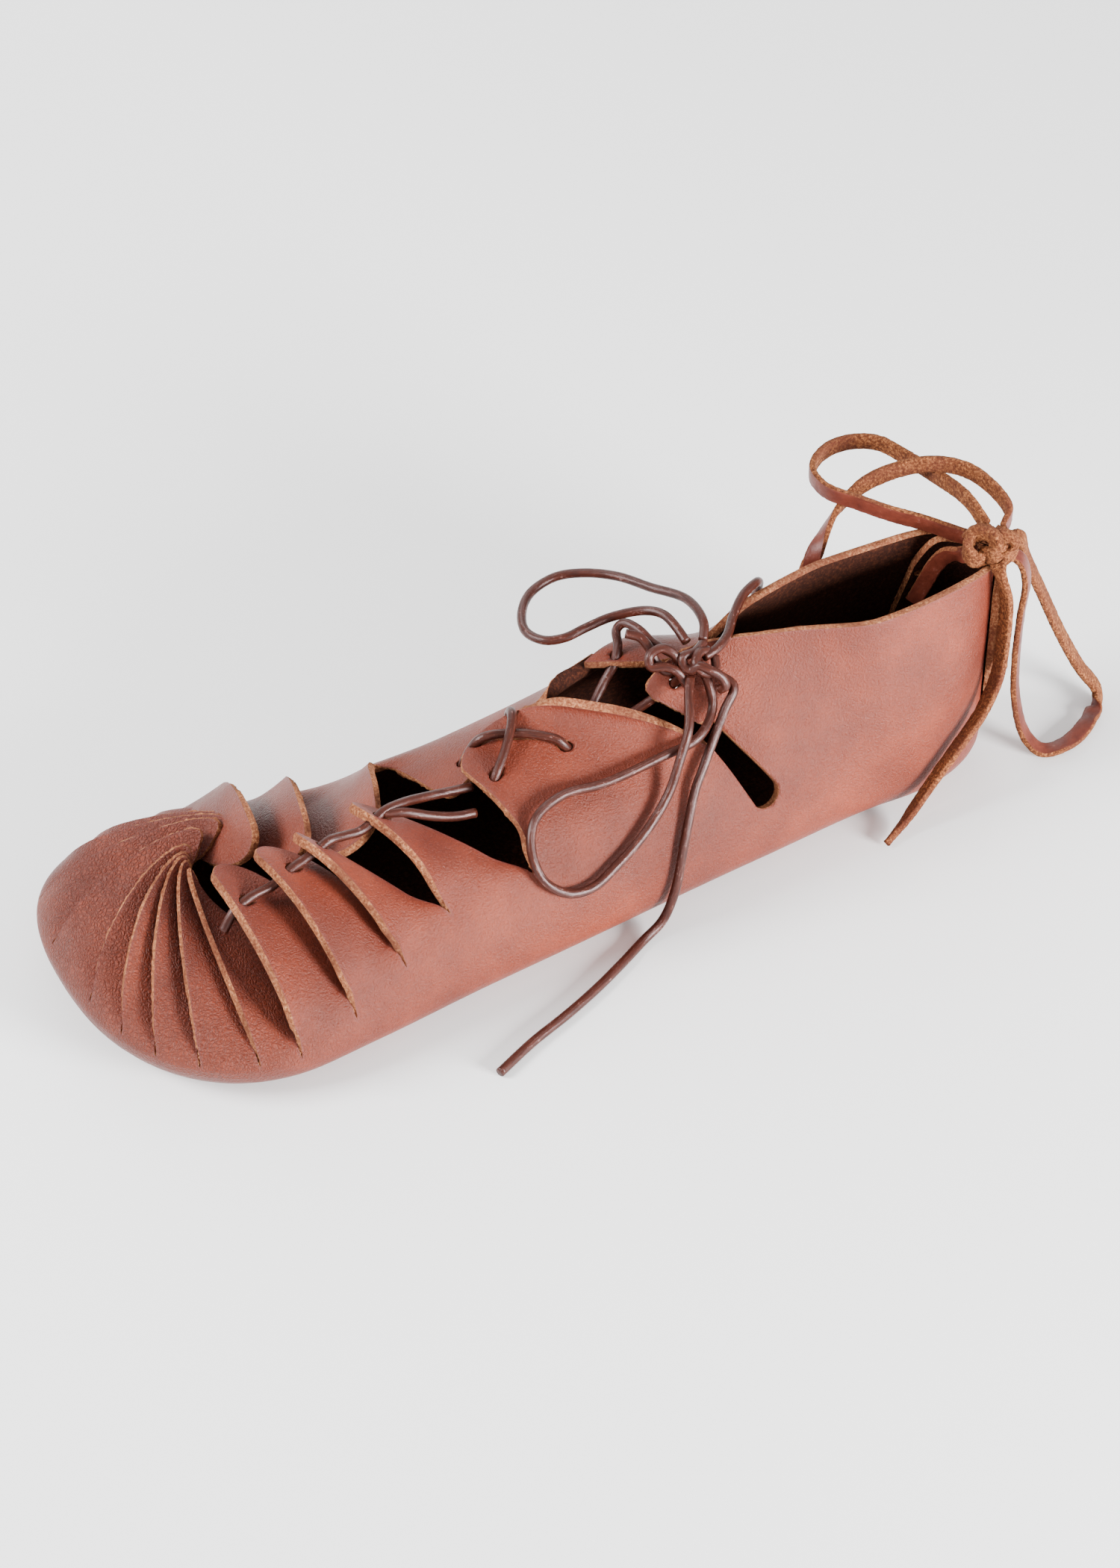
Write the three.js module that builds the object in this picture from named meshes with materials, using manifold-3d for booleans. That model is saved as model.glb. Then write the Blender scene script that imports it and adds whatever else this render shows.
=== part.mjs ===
// A one-piece medieval tie shoe for the left foot: a single piece of leather folded up from under the
// foot, slit at the toe into strips that a round lace draws together, and tied at instep and heel.
// Millimetres. The toe points to -Y, the heel to +Y, the outer side of the foot is +X, up is +Z.
import * as THREE from "three";
import Module from "manifold-3d";

// Driving sizes
const LENGTH = 280;
const BALL_WIDTH = 103;
const INSTEP_HEIGHT = 55;
const COLLAR_HEIGHT = 68;
const WALL = 2.5;
const CLEAR = 0.35;
const EDGE_HEIGHT = 10.7;
const EDGE_TURN = 13.2;
const TOE_SPRING = 2.7;
const TOE_TURN = 13.7;
const TOE_ROUND = 2.45;
const HEEL_ROUND = 2.4;
const DOME_ROUND = 2.2;
const RING_RADIUS = 11.5;
const FIN_RISE = 3;
const LIP = 4;
const TOE_LIP = 1.6;
const DROP_WIDTH = 14;
const FIN_THINNER = 0.4;
const WING_OUTER = 30;
const WING_INNER = 17;
const WING_START = 32;
const SLIT_GAPE = 1.3;
const SLIT_REACH = 14;
const HEEL_ROOT = 0.2;
const FLAP_ROOT = 0.49;

// Sections along the foot. at: share of the length from the heel; half: half width as a share of half
// the ball width; crown: height of the closed form as a share of the instep height.
const SECTIONS = [
  { at: 0.0, half: 0.49, crown: 1.1 },
  { at: 0.14, half: 0.49, crown: 1.1 },
  { at: 0.3, half: 0.56, crown: 1.05 },
  { at: 0.45, half: 0.645, crown: 1.01 },
  { at: 0.62, half: 0.76, crown: 0.78 },
  { at: 0.75, half: 0.9, crown: 0.8 },
  { at: 0.84, half: 1.0, crown: 0.67 },
  { at: 0.92, half: 1.05, crown: 0.55 },
  { at: 1.0, half: 1.08, crown: 0.42 },
];

// The collar from the heel to the tips of the two ankle flaps. at: turn in degrees of the column that
// rises from the sole edge; along: share of the length; outer, inner: distance from the middle as a
// share of half the ball width; up: share of the collar height; fold: how much lower it is on the inner
// side, where the flap folds over the instep, and out: how far out the inner flap's fold lies.
const COLLAR = [
  { at: 0, along: -0.012, outer: 0, inner: 0, up: 0.97, fold: 0, out: 0 },
  { at: 14, along: 0.002, outer: 0.16, inner: 0.16, up: 0.975, fold: 0, out: 0 },
  { at: 30, along: 0.045, outer: 0.27, inner: 0.27, up: 1, fold: 0, out: 0 },
  { at: 45, along: 0.15, outer: 0.31, inner: 0.31, up: 0.985, fold: 0, out: 0 },
  { at: 54, along: 0.25, outer: 0.15, inner: 0.22, up: 1.0, fold: 0.02, out: 0.05 },
  { at: 60, along: 0.34, outer: -0.04, inner: 0.13, up: 0.975, fold: 0.085, out: 0.25 },
  { at: 64.5, along: 0.43, outer: -0.11, inner: 0.4, up: 0.86, fold: 0, out: 0.2 },
];

// The strips in their order round the toe, each lying over the next. turn: degrees round the sole edge
// of the slit at the strip's leading edge; root: height of that slit's end as a share of the instep
// height; lead and trail: the two corners of its free end, at a share of the length, at a side of the
// closed form from -1 to 1, and raised over it by a number of leather thicknesses; bulge: how far the
// middle of the free end reaches past its corners, as a share of the half width.
const STRIPS = [
  { name: "outer1", turn: 95, root: 0.555, lead: [0.588, -0.1, 1.6], trail: [0.465, -0.08, 1.7], bulge: 0.22, full: 0.6, lip: 0 },
  { name: "outer2", turn: 106, root: 0.567, lead: [0.71, -0.02, 2.0], trail: [0.662, 0.1, 0.4], bulge: 0.05 },
  { name: "outer3", turn: 115, root: 0.445, lead: [0.773, 0.1, 2.2], trail: [0.742, 0.24, 0.6], bulge: 0.05 },
  { name: "outer4", turn: 123.5, root: 0.31, lead: [0.813, 0.08, 2.5], trail: [0.757, 0.22, 0.1], bulge: 0.05, lap: 4 },
  { name: "outer5", turn: 132.5, root: 0.225, lead: [0.855, 0.09, 2.6], trail: [0.797, 0.2, -0.1], bulge: 0.09, lap: 4 },
  { name: "toe1", turn: 139, root: 0.225 },
  { name: "toe2", turn: 149, root: 0.23 },
  { name: "toe3", turn: 157, root: 0.24 },
  { name: "toe4", turn: 164, root: 0.27 },
  { name: "toe5", turn: 172, root: 0.3 },
  { name: "toe6", turn: 183, root: 0.3 },
  { name: "toe7", turn: 196, root: 0.26 },
  { name: "toe8", turn: 207, root: 0.25 },
  { name: "toe9", turn: 215, root: 0.24 },
  { name: "toe10", turn: 227, root: 0.24 },
  { name: "inner4", turn: 237, root: 0.3, lead: [0.8, 0.02, 0.9], trail: [0.83, -0.1, -0.9], bulge: 0.03, lap: 4, fin: 9 },
  { name: "inner3", turn: 245, root: 0.42, lead: [0.755, 0.12, -0.2], trail: [0.79, 0.05, -1.6], bulge: 0.03, lap: 4, fin: 9 },
  { name: "inner2", turn: 255, root: 0.58, lead: [0.685, 0.14, 0.2], trail: [0.742, 0.12, -1.6], bulge: 0.03, fin: 8 },
  { name: "inner1", turn: 295.5, root: 0.49, lead: [0.453, -0.42, 1.1], trail: [0.6, 0.0, -0.6], bulge: 0, full: 0.74 },
];
// The bend over of the toe strips before the rosette. at: turn in degrees of the column; reach: distance
// from the middle of the rosette as a share of half the ball width; lag, turned: degrees that the bend
// and the tip lie round the rosette from the column's foot.
const BENDS = [
  { at: 132, reach: 0.3, lag: 4, turned: 44, wide: 12 },
  { at: 139, reach: 0.27, lag: 56, turned: 69, wide: 12 },
  { at: 149, reach: 0.35, lag: 58, turned: 66, wide: 12 },
  { at: 157, reach: 0.44, lag: 48, turned: 62, wide: 12 },
  { at: 164, reach: 0.54, lag: 32, turned: 58, wide: 13 },
  { at: 172, reach: 0.56, lag: 30, turned: 56, wide: 14 },
  { at: 196, reach: 0.48, lag: 42, turned: 56, wide: 17 },
  { at: 228, reach: 0.4, lag: 32, turned: 47, wide: 19 },
];
const ROSETTE = { at: 0.82, side: -0.04, up: 0.67 };
const FLAP_TURN = COLLAR[COLLAR.length - 1].at;

const DEGREE = Math.PI / 180;
const STEP = WALL + CLEAR;
const WING_STEP = 1.1 * STEP;
const mix = (a, b, q) => a + (b - a) * q;
const clamp = (x) => Math.min(1, Math.max(0, x));
const ease = (x) => clamp(x) ** 2 * (3 - 2 * clamp(x));
const vec = (x, y, z) => new THREE.Vector3(x, y, z);
const flat = (v) => vec(v.x, v.y, 0);

// A value of a table's column at any place along it, on a smooth curve through the rows.
function along(rows, key, at) {
  let i = 0;
  while (i < rows.length - 2 && rows[i + 1].at <= at) i += 1;
  const slope = (k) => (rows[k + 1][key] - rows[k][key]) / (rows[k + 1].at - rows[k].at);
  const tangent = (k) => {
    if (k === 0) return slope(0);
    if (k === rows.length - 1) return slope(k - 1);
    const [s, t] = [slope(k - 1), slope(k)];
    return s * t <= 0 ? 0 : (2 * s * t) / (s + t);
  };
  const span = rows[i + 1].at - rows[i].at;
  const q = clamp((at - rows[i].at) / span);
  const bend = q * (1 - q) * span * (tangent(i) * (1 - q) - tangent(i + 1) * q);
  return mix(rows[i][key], rows[i + 1][key], q * q * (3 - 2 * q)) + bend;
}

function halfWidth(at) {
  const toe = clamp((at - 0.8) / 0.2) ** TOE_ROUND;
  const heel = clamp((0.14 - at) / 0.14) ** HEEL_ROUND;
  const round = (1 - toe) ** (1 / TOE_ROUND) * (1 - heel) ** (1 / HEEL_ROUND);
  return (BALL_WIDTH / 2) * along(SECTIONS, "half", clamp(at)) * round;
}

const middle = (at) => -TOE_TURN * clamp((at - 0.5) / 0.5) ** 2;
const lengthwise = (at) => LENGTH * (0.5 - at);
const spring = (at) => TOE_SPRING * clamp((at - 0.8) / 0.2) ** 2;
const share = (turn) => (1 - Math.cos(turn * DEGREE)) / 2;
const sideOf = (turn) => (Math.sin(turn * DEGREE) >= 0 ? 1 : -1);

// A point of the closed form over the foot: side runs from -1 at the inner edge to 1 at the outer.
function dome([at, side, rise]) {
  const height = INSTEP_HEIGHT * along(SECTIONS, "crown", at) - EDGE_HEIGHT;
  const arch = (1 - Math.abs(side) ** DOME_ROUND) ** (1 / DOME_ROUND);
  const x = middle(at) + halfWidth(at) * side;
  return vec(x, lengthwise(at), EDGE_HEIGHT + height * arch + spring(at) + rise * STEP);
}

// The widest line round the foot, from 0 degrees at the heel through 180 at the toe to 360.
function edge(turn) {
  const at = share(turn);
  return vec(middle(at) + sideOf(turn) * halfWidth(at), lengthwise(at), EDGE_HEIGHT + spring(at));
}

// The foot of a column: the rounded turn from the ground up to the widest line, for v from -1 to 0.
function spine(turn) {
  const at = Math.min(0.78, Math.max(0.18, share(turn)));
  return vec(middle(at), lengthwise(at), 0);
}
function turnUp(turn, v) {
  const rim = edge(turn);
  const out = flat(rim).sub(spine(turn)).normalize();
  const angle = (v + 1) * 90 * DEGREE;
  const point = rim.clone().addScaledVector(out, EDGE_TURN * (Math.sin(angle) - 1));
  point.z = rim.z - EDGE_HEIGHT * Math.cos(angle);
  return point;
}

function bezier(a, b, c, d, v) {
  const w = 1 - v;
  return a.clone().multiplyScalar(w ** 3)
    .addScaledVector(b, 3 * w * w * v)
    .addScaledVector(c, 3 * w * v * v)
    .addScaledVector(d, v ** 3);
}

// Quarters: the wall from the sole edge to the collar and its flaps. turn is positive on the outer
// side and negative on the inner side, and passes through 0 at the heel.
function quarter(turn) {
  const size = Math.abs(turn);
  const side = turn < 0 ? -1 : 1;
  const isInner = side < 0;
  const half = along(COLLAR, isInner ? "inner" : "outer", size);
  const up = along(COLLAR, "up", size) - (isInner ? along(COLLAR, "fold", size) : 0);
  const out = isInner ? along(COLLAR, "out", size) : 0;
  const top = vec((side * half * BALL_WIDTH) / 2, lengthwise(along(COLLAR, "along", size)), COLLAR_HEIGHT * up);
  const foot = edge(turn);
  const lean = ease((size - 50) / (FLAP_TURN - 50));
  const pull = top.clone().addScaledVector(flat(foot).sub(flat(top)), mix(0.35, 0.5, lean) + out);
  pull.z -= (mix(0.36, 0.08, lean) - out / 2) * (top.z - foot.z);
  return { foot, rise: 0.42 * (top.z - foot.z), pull, top };
}

const rosette = vec(
  middle(ROSETTE.at) + halfWidth(ROSETTE.at) * ROSETTE.side,
  lengthwise(ROSETTE.at),
  INSTEP_HEIGHT * ROSETTE.up,
);

// A toe strip's edge: it heads past the rosette, bends over and ends on a ring round its middle, with
// its leading edge raised like a fin. edgeSide is -1 for the trailing and 1 for the leading edge.
function fin(turn, edgeSide) {
  const foot = edge(turn);
  const away = Math.atan2(foot.y - rosette.y, foot.x - rosette.x);
  const place = (radius, lag, wide, tilt, up) => {
    const a = away - lag * DEGREE;
    const p = rosette.clone().add(vec(Math.cos(a), Math.sin(a), 0).multiplyScalar(radius));
    const across = vec(Math.sin(a), -Math.cos(a), 0).multiplyScalar(Math.cos(tilt * DEGREE));
    across.z = Math.sin(tilt * DEGREE);
    p.addScaledVector(across, (edgeSide * wide) / 2);
    p.z += up;
    return p;
  };
  const reach = (BALL_WIDTH / 2) * along(BENDS, "reach", turn);
  const pull = place(reach, along(BENDS, "lag", turn), along(BENDS, "wide", turn), 42, -3.5);
  const top = place(RING_RADIUS, along(BENDS, "turned", turn), 9, 66, 0);
  return { foot, rise: 0.4 * (pull.z - foot.z), pull, top };
}

// Instep strips: their free ends lie at corners on the closed form.
function leaf(strip, q, turn) {
  const corner = strip.trail.map((value, i) => mix(value, strip.lead[i], q));
  const inward = -sideOf(turn);
  corner[1] += inward * strip.bulge * (1 - (2 * q - 1) ** 2);
  const top = dome(corner);
  const foot = edge(turn);
  const full = strip.full ?? 0.5;
  const pull = top.clone().addScaledVector(flat(foot).sub(flat(top)), full);
  pull.z += (strip.fin ?? FIN_RISE) * (2 * q - 1);
  const round = flat(edge(turn + 1).sub(edge(turn - 1))).normalize();
  pull.addScaledVector(round, (strip.lap ?? 0) * (q - 1));
  return { foot, rise: full * (top.z - foot.z), pull, top };
}

// The leather goes round the foot in panels: the outer quarter, the strips and the inner quarter. Slit k
// lies between panel k - 1 and panel k, and slit 0 is at the heel. Below its root the panels are one.
const PANELS = STRIPS.length + 2;
const slitTurn = (k) => {
  if (k === 0) return 0;
  return k === 1 ? FLAP_TURN : STRIPS[k - 2].turn;
};
const slitRoot = (k) => {
  if (k === 0) return HEEL_ROOT;
  return k === 1 ? FLAP_ROOT : STRIPS[k - 2].root;
};

function panelColumn(i, q) {
  if (i === 0) return quarter(FLAP_TURN * q);
  if (i === PANELS - 1) return quarter(mix(slitTurn(i) - 360, 0, q));
  const strip = STRIPS[i - 1];
  const turn = mix(slitTurn(i), strip.turn, q);
  if (strip.lead) return leaf(strip, q, turn);
  const [a, b] = [fin(turn, -1), fin(turn, 1)];
  return {
    foot: a.foot,
    rise: mix(a.rise, b.rise, q),
    pull: a.pull.lerp(b.pull, q),
    top: a.top.lerp(b.top, q),
  };
}

const onColumn = (c, v) => bezier(c.foot, c.foot.clone().setZ(c.foot.z + c.rise), c.pull, c.top, v);

const SLITS = Array.from({ length: PANELS }, (_, k) => {
  const left = panelColumn((k + PANELS - 1) % PANELS, 1);
  const right = panelColumn(k, 0);
  const midway = {
    foot: left.foot,
    rise: (left.rise + right.rise) / 2,
    pull: left.pull.clone().lerp(right.pull, 0.5),
    top: left.top.clone().lerp(right.top, 0.5),
  };
  const [before, after] = [edge(slitTurn(k) - 1), edge(slitTurn(k) + 1)];
  let [low, high] = [0, 1];
  for (let n = 0; n < 30; n += 1) {
    const v = (low + high) / 2;
    if (onColumn(midway, v).z < INSTEP_HEIGHT * slitRoot(k)) low = v;
    else high = v;
  }
  return { left, right, midway, round: flat(after.sub(before)).normalize(), root: low };
});

// The drop-shaped cut between a quarter and the instep strip, as a share of its width.
function drop(past) {
  const q = clamp(past / 0.5);
  return q < 0.22 ? Math.sqrt(1 - (1 - q / 0.22) ** 2) : 1 - 0.75 * ease((q - 0.22) / 0.78);
}

// How far the leading edge at slit k stands up over the next panel: the strips lie like louvres.
function lipOf(k) {
  if (k < 2 || k === PANELS - 1) return 0;
  const { lip, lead } = STRIPS[k - 2];
  return lip ?? (lead ? LIP : TOE_LIP);
}

// How far an edge of slit k lies from its own panel's column. Below the root both edges follow the line
// midway between them. Above it they part sideways first, then one rises over the other.
function slitShift(k, v, onLeft) {
  const { left, right, midway, root, round } = SLITS[k];
  const mid = onColumn(midway, v);
  const shift = mid.clone().sub(onColumn(onLeft ? left : right, v));
  const past = (v - root) / (1 - root);
  if (past <= 0) return shift;
  const across = onColumn(left, v).sub(onColumn(right, v));
  const ahead = onColumn(midway, v + 0.01).sub(onColumn(midway, v - 0.01)).normalize();
  const lateral = round.clone().addScaledVector(ahead, -ahead.dot(round)).normalize();
  const normal = ahead.clone().cross(lateral);
  const [level, side, on] = [normal, lateral, ahead].map((axis) => across.dot(axis));
  const up = level + lipOf(k);
  const raised = ease((past - 0.03) * 4);
  const apart = (Math.abs(up) * raised) / STEP;
  const moved = side < 0 ? ease(past * 2.5) : ease((apart - 0.95) / 1.1);
  const cut = k === 1 || k === PANELS - 1 ? DROP_WIDTH * drop(past) : SLIT_GAPE * ease(past * 24) * (1 - moved);
  const sign = onLeft ? 0.5 : -0.5;
  return shift
    .addScaledVector(normal, sign * up * raised)
    .addScaledVector(lateral, sign * (side * moved - cut))
    .addScaledVector(ahead, sign * on * moved);
}

// A point of the grain side of panel i: q from its trailing to its leading edge, v from the ground
// contact at -1 through the widest line at 0 to the free end at 1; beside: v on the same row of the grid
// at the trailing and at the leading edge.
function leather(i, q, v, beside) {
  const quarterTurn = i === 0 ? FLAP_TURN * q : mix(slitTurn(PANELS - 1) - 360, 0, q);
  const isQuarter = i === 0 || i === PANELS - 1;
  const span = isQuarter ? FLAP_TURN : STRIPS[i - 1].turn - slitTurn(i);
  const turn = isQuarter ? quarterTurn : mix(slitTurn(i), STRIPS[i - 1].turn, q);
  if (v < 0) return turnUp(turn, v);
  const reach = Math.min(1, SLIT_REACH / span);
  if (!isQuarter) {
    return onColumn(panelColumn(i, q), v)
      .addScaledVector(slitShift(i, beside[0], false), clamp(1 - q / reach) ** 2)
      .addScaledVector(slitShift((i + 1) % PANELS, beside[1], true), clamp(1 - (1 - q) / reach) ** 2);
  }
  const root = SLITS[0].root;
  const past = (v - root) / (1 - root);
  const near = ease(1 - Math.abs(turn) / WING_START);
  const moved = near * ease((past - 0.04) * 8);
  const placed = turn + (i === 0 ? -WING_OUTER : WING_INNER) * moved;
  const column = quarter(placed);
  const point = onColumn(column, v);
  const aside = onColumn(quarter(placed + 1), v).sub(onColumn(quarter(placed - 1), v));
  const ahead = onColumn(column, v + 0.01).sub(onColumn(column, v - 0.01));
  const out = ahead.cross(aside).normalize();
  const outerLayer = ease((placed + WING_START) / (WING_START + 12));
  const layer = i === 0 ? outerLayer - 1 : outerLayer;
  point.addScaledVector(out, layer * WING_STEP * ease(past * 14));
  const round = edge(turn + 1).sub(edge(turn - 1)).setZ(0).normalize();
  const parted = SLIT_GAPE * ease(past * 20) * (1 - ease((past - 0.04) * 14));
  point.addScaledVector(round, (i === 0 ? 0.5 : -0.5) * parted * clamp(1 - Math.abs(turn) / 6) ** 2);
  const other = i === 0 ? slitShift(1, beside[1], true) : slitShift(PANELS - 1, beside[0], false);
  const off = i === 0 ? 1 - q : q;
  return point.addScaledVector(other, clamp(1 - off / reach) ** 2);
}

// How far up its column a panel reaches: its free end is rounded towards both edges.
function reachUp(i, q) {
  if (i > 0 && i < PANELS - 1) {
    const wide = STRIPS[i - 1].turn - slitTurn(i) > 20;
    const power = wide ? 5 : 2.4;
    return 1 - (wide ? 0.12 : 0.085) * (1 - (1 - Math.abs(2 * q - 1) ** power) ** (1 / power));
  }
  const [flap, wing] = i === 0 ? [q, 1 - q] : [1 - q, q];
  const corner = 1 - Math.sqrt(1 - clamp((flap - 0.8) / 0.2) ** 2);
  return 1 - (i === 0 ? 0.2 : 0.05) * corner - 0.16 * clamp((wing - 0.9) / 0.1) ** 3;
}

// The toe strips are pared thinner towards the rosette.
function wallAt(i, v) {
  const pared = i > 0 && i < PANELS - 1 && !STRIPS[i - 1].lead;
  return pared ? WALL * (1 - FIN_THINNER * ease((v - 0.3) / 0.5)) : WALL;
}

// Shares of a panel's width and height at which the leather's grid has its lines.
const QUARTER_LINES = [0, 0.03, 0.08, 0.15, 0.24, 0.35, 0.46, 0.57, 0.68, 0.78, 0.86, 0.92, 0.97, 1];
const WIDE_LINES = [0, 0.05, 0.14, 0.28, 0.43, 0.57, 0.72, 0.86, 0.95, 1];
const STRIP_LINES = [0, 0.15, 0.38, 0.62, 0.85, 1];
const TOE_LINES = [0, 0.2, 0.5, 0.8, 1];
const FOOT_LINES = [-1, -0.66, -0.33, 0];
const LOW_LINES = [0.5];
const HIGH_LINES = [0, 0.035, 0.11, 0.23, 0.38, 0.56, 0.77, 1];

function linesOf(i) {
  if (i === 0) return QUARTER_LINES;
  if (i === PANELS - 1) return QUARTER_LINES.map((q) => 1 - q).reverse();
  if (STRIPS[i - 1].turn - slitTurn(i) > 20) return WIDE_LINES;
  return STRIPS[i - 1].lead ? STRIP_LINES : TOE_LINES;
}

// The places up a column, at share q of the panel's width, at which the grid has its rows.
function rowsOf(i, q) {
  const root = mix(SLITS[i].root, SLITS[(i + 1) % PANELS].root, q);
  const end = reachUp(i, q);
  return [...FOOT_LINES, ...LOW_LINES.map((v) => v * root), ...HIGH_LINES.map((h) => mix(root, end, h))];
}

// The grain side as one sheet: positions and quads, its panels joined below the roots of the slits.
function grainSheet() {
  const points = [];
  const walls = [];
  const quads = [];
  const shared = new Map();
  const add = (point, wall) => {
    walls.push(wall);
    return points.push(point) - 1;
  };
  const joined = (key, make) => {
    if (!shared.has(key)) shared.set(key, add(make(), WALL));
    return shared.get(key);
  };
  const low = FOOT_LINES.length + LOW_LINES.length;
  const ring = [];
  for (let i = 0; i < PANELS; i += 1) {
    const after = (i + 1) % PANELS;
    const [trailing, leading] = [rowsOf(i, 0), rowsOf(i, 1)];
    const grid = linesOf(i).map((q) => {
      return rowsOf(i, q).map((v, r) => {
        const onSlit = r <= low && (q === 0 || q === 1);
        const make = () => leather(i, q, v, [trailing[r], leading[r]]);
        return onSlit ? joined(`${q === 0 ? i : after}/${r}`, make) : add(make(), wallAt(i, v));
      });
    });
    for (let c = 0; c + 1 < grid.length; c += 1) {
      ring.push(grid[c][0]);
      for (let r = 0; r + 1 < grid[c].length; r += 1) {
        quads.push([grid[c][r], grid[c][r + 1], grid[c + 1][r + 1], grid[c + 1][r]]);
      }
    }
  }
  return { points, walls, quads, ring };
}

// The underside closes the ring of ground contacts: rings towards the middle line, then a flat fill.
const SOLE_LINES = [0.3, 0.62];
function closeSole({ points, walls, quads, ring }) {
  const triangles = quads.flatMap(([a, b, c, d]) => [[a, b, c], [a, c, d]]);
  let outer = ring;
  for (const inward of SOLE_LINES) {
    const inner = ring.map((id) => {
      const p = points[id];
      const at = Math.min(0.78, Math.max(0.18, 0.5 - p.y / LENGTH));
      const q = p.clone().lerp(vec(middle(at), lengthwise(at), 0), inward);
      if (inward > 0.5) q.z = 0;
      walls.push(WALL);
      return points.push(q) - 1;
    });
    outer.forEach((id, k) => {
      const n = (k + 1) % outer.length;
      triangles.push([inner[k], outer[n], inner[n]], [inner[k], id, outer[n]]);
    });
    outer = inner;
  }
  const outline = outer.map((id) => new THREE.Vector2(points[id].x, points[id].y));
  for (const [a, b, c] of THREE.ShapeUtils.triangulateShape(outline, [])) {
    triangles.push([outer[a], outer[c], outer[b]]);
  }
  return { points, walls, triangles };
}

// Leather of real thickness: the grain side, the flesh side below it and the cut edges between them.
function thicken({ points, triangles, walls }) {
  const normals = points.map(() => vec(0, 0, 0));
  const sides = new Map();
  for (const [a, b, c] of triangles) {
    const face = points[b].clone().sub(points[a]).cross(points[c].clone().sub(points[a]));
    for (const id of [a, b, c]) normals[id].add(face);
    for (const [m, n] of [[a, b], [b, c], [c, a]]) sides.set(`${m}/${n}`, [m, n]);
  }
  const count = points.length;
  const flesh = points.map((p, k) => p.clone().addScaledVector(normals[k].normalize(), -walls[k]));
  const all = [...points, ...flesh];
  const index = triangles.flatMap(([a, b, c]) => [a, b, c, a + count, c + count, b + count]);
  for (const [a, b] of sides.values()) {
    if (!sides.has(`${b}/${a}`)) index.push(a, a + count, b + count, a, b + count, b);
  }
  const geometry = new THREE.BufferGeometry();
  geometry.setAttribute("position", new THREE.Float32BufferAttribute(all.flatMap((p) => p.toArray()), 3));
  geometry.setIndex(index);
  return geometry;
}

// Cords
const LACE = 2.7;
const THONG = 3.4;
const CORD_SIDES = 8;
const CORD_STEP = 3.1;
const HOLE_GAP = 0.45;

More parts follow.
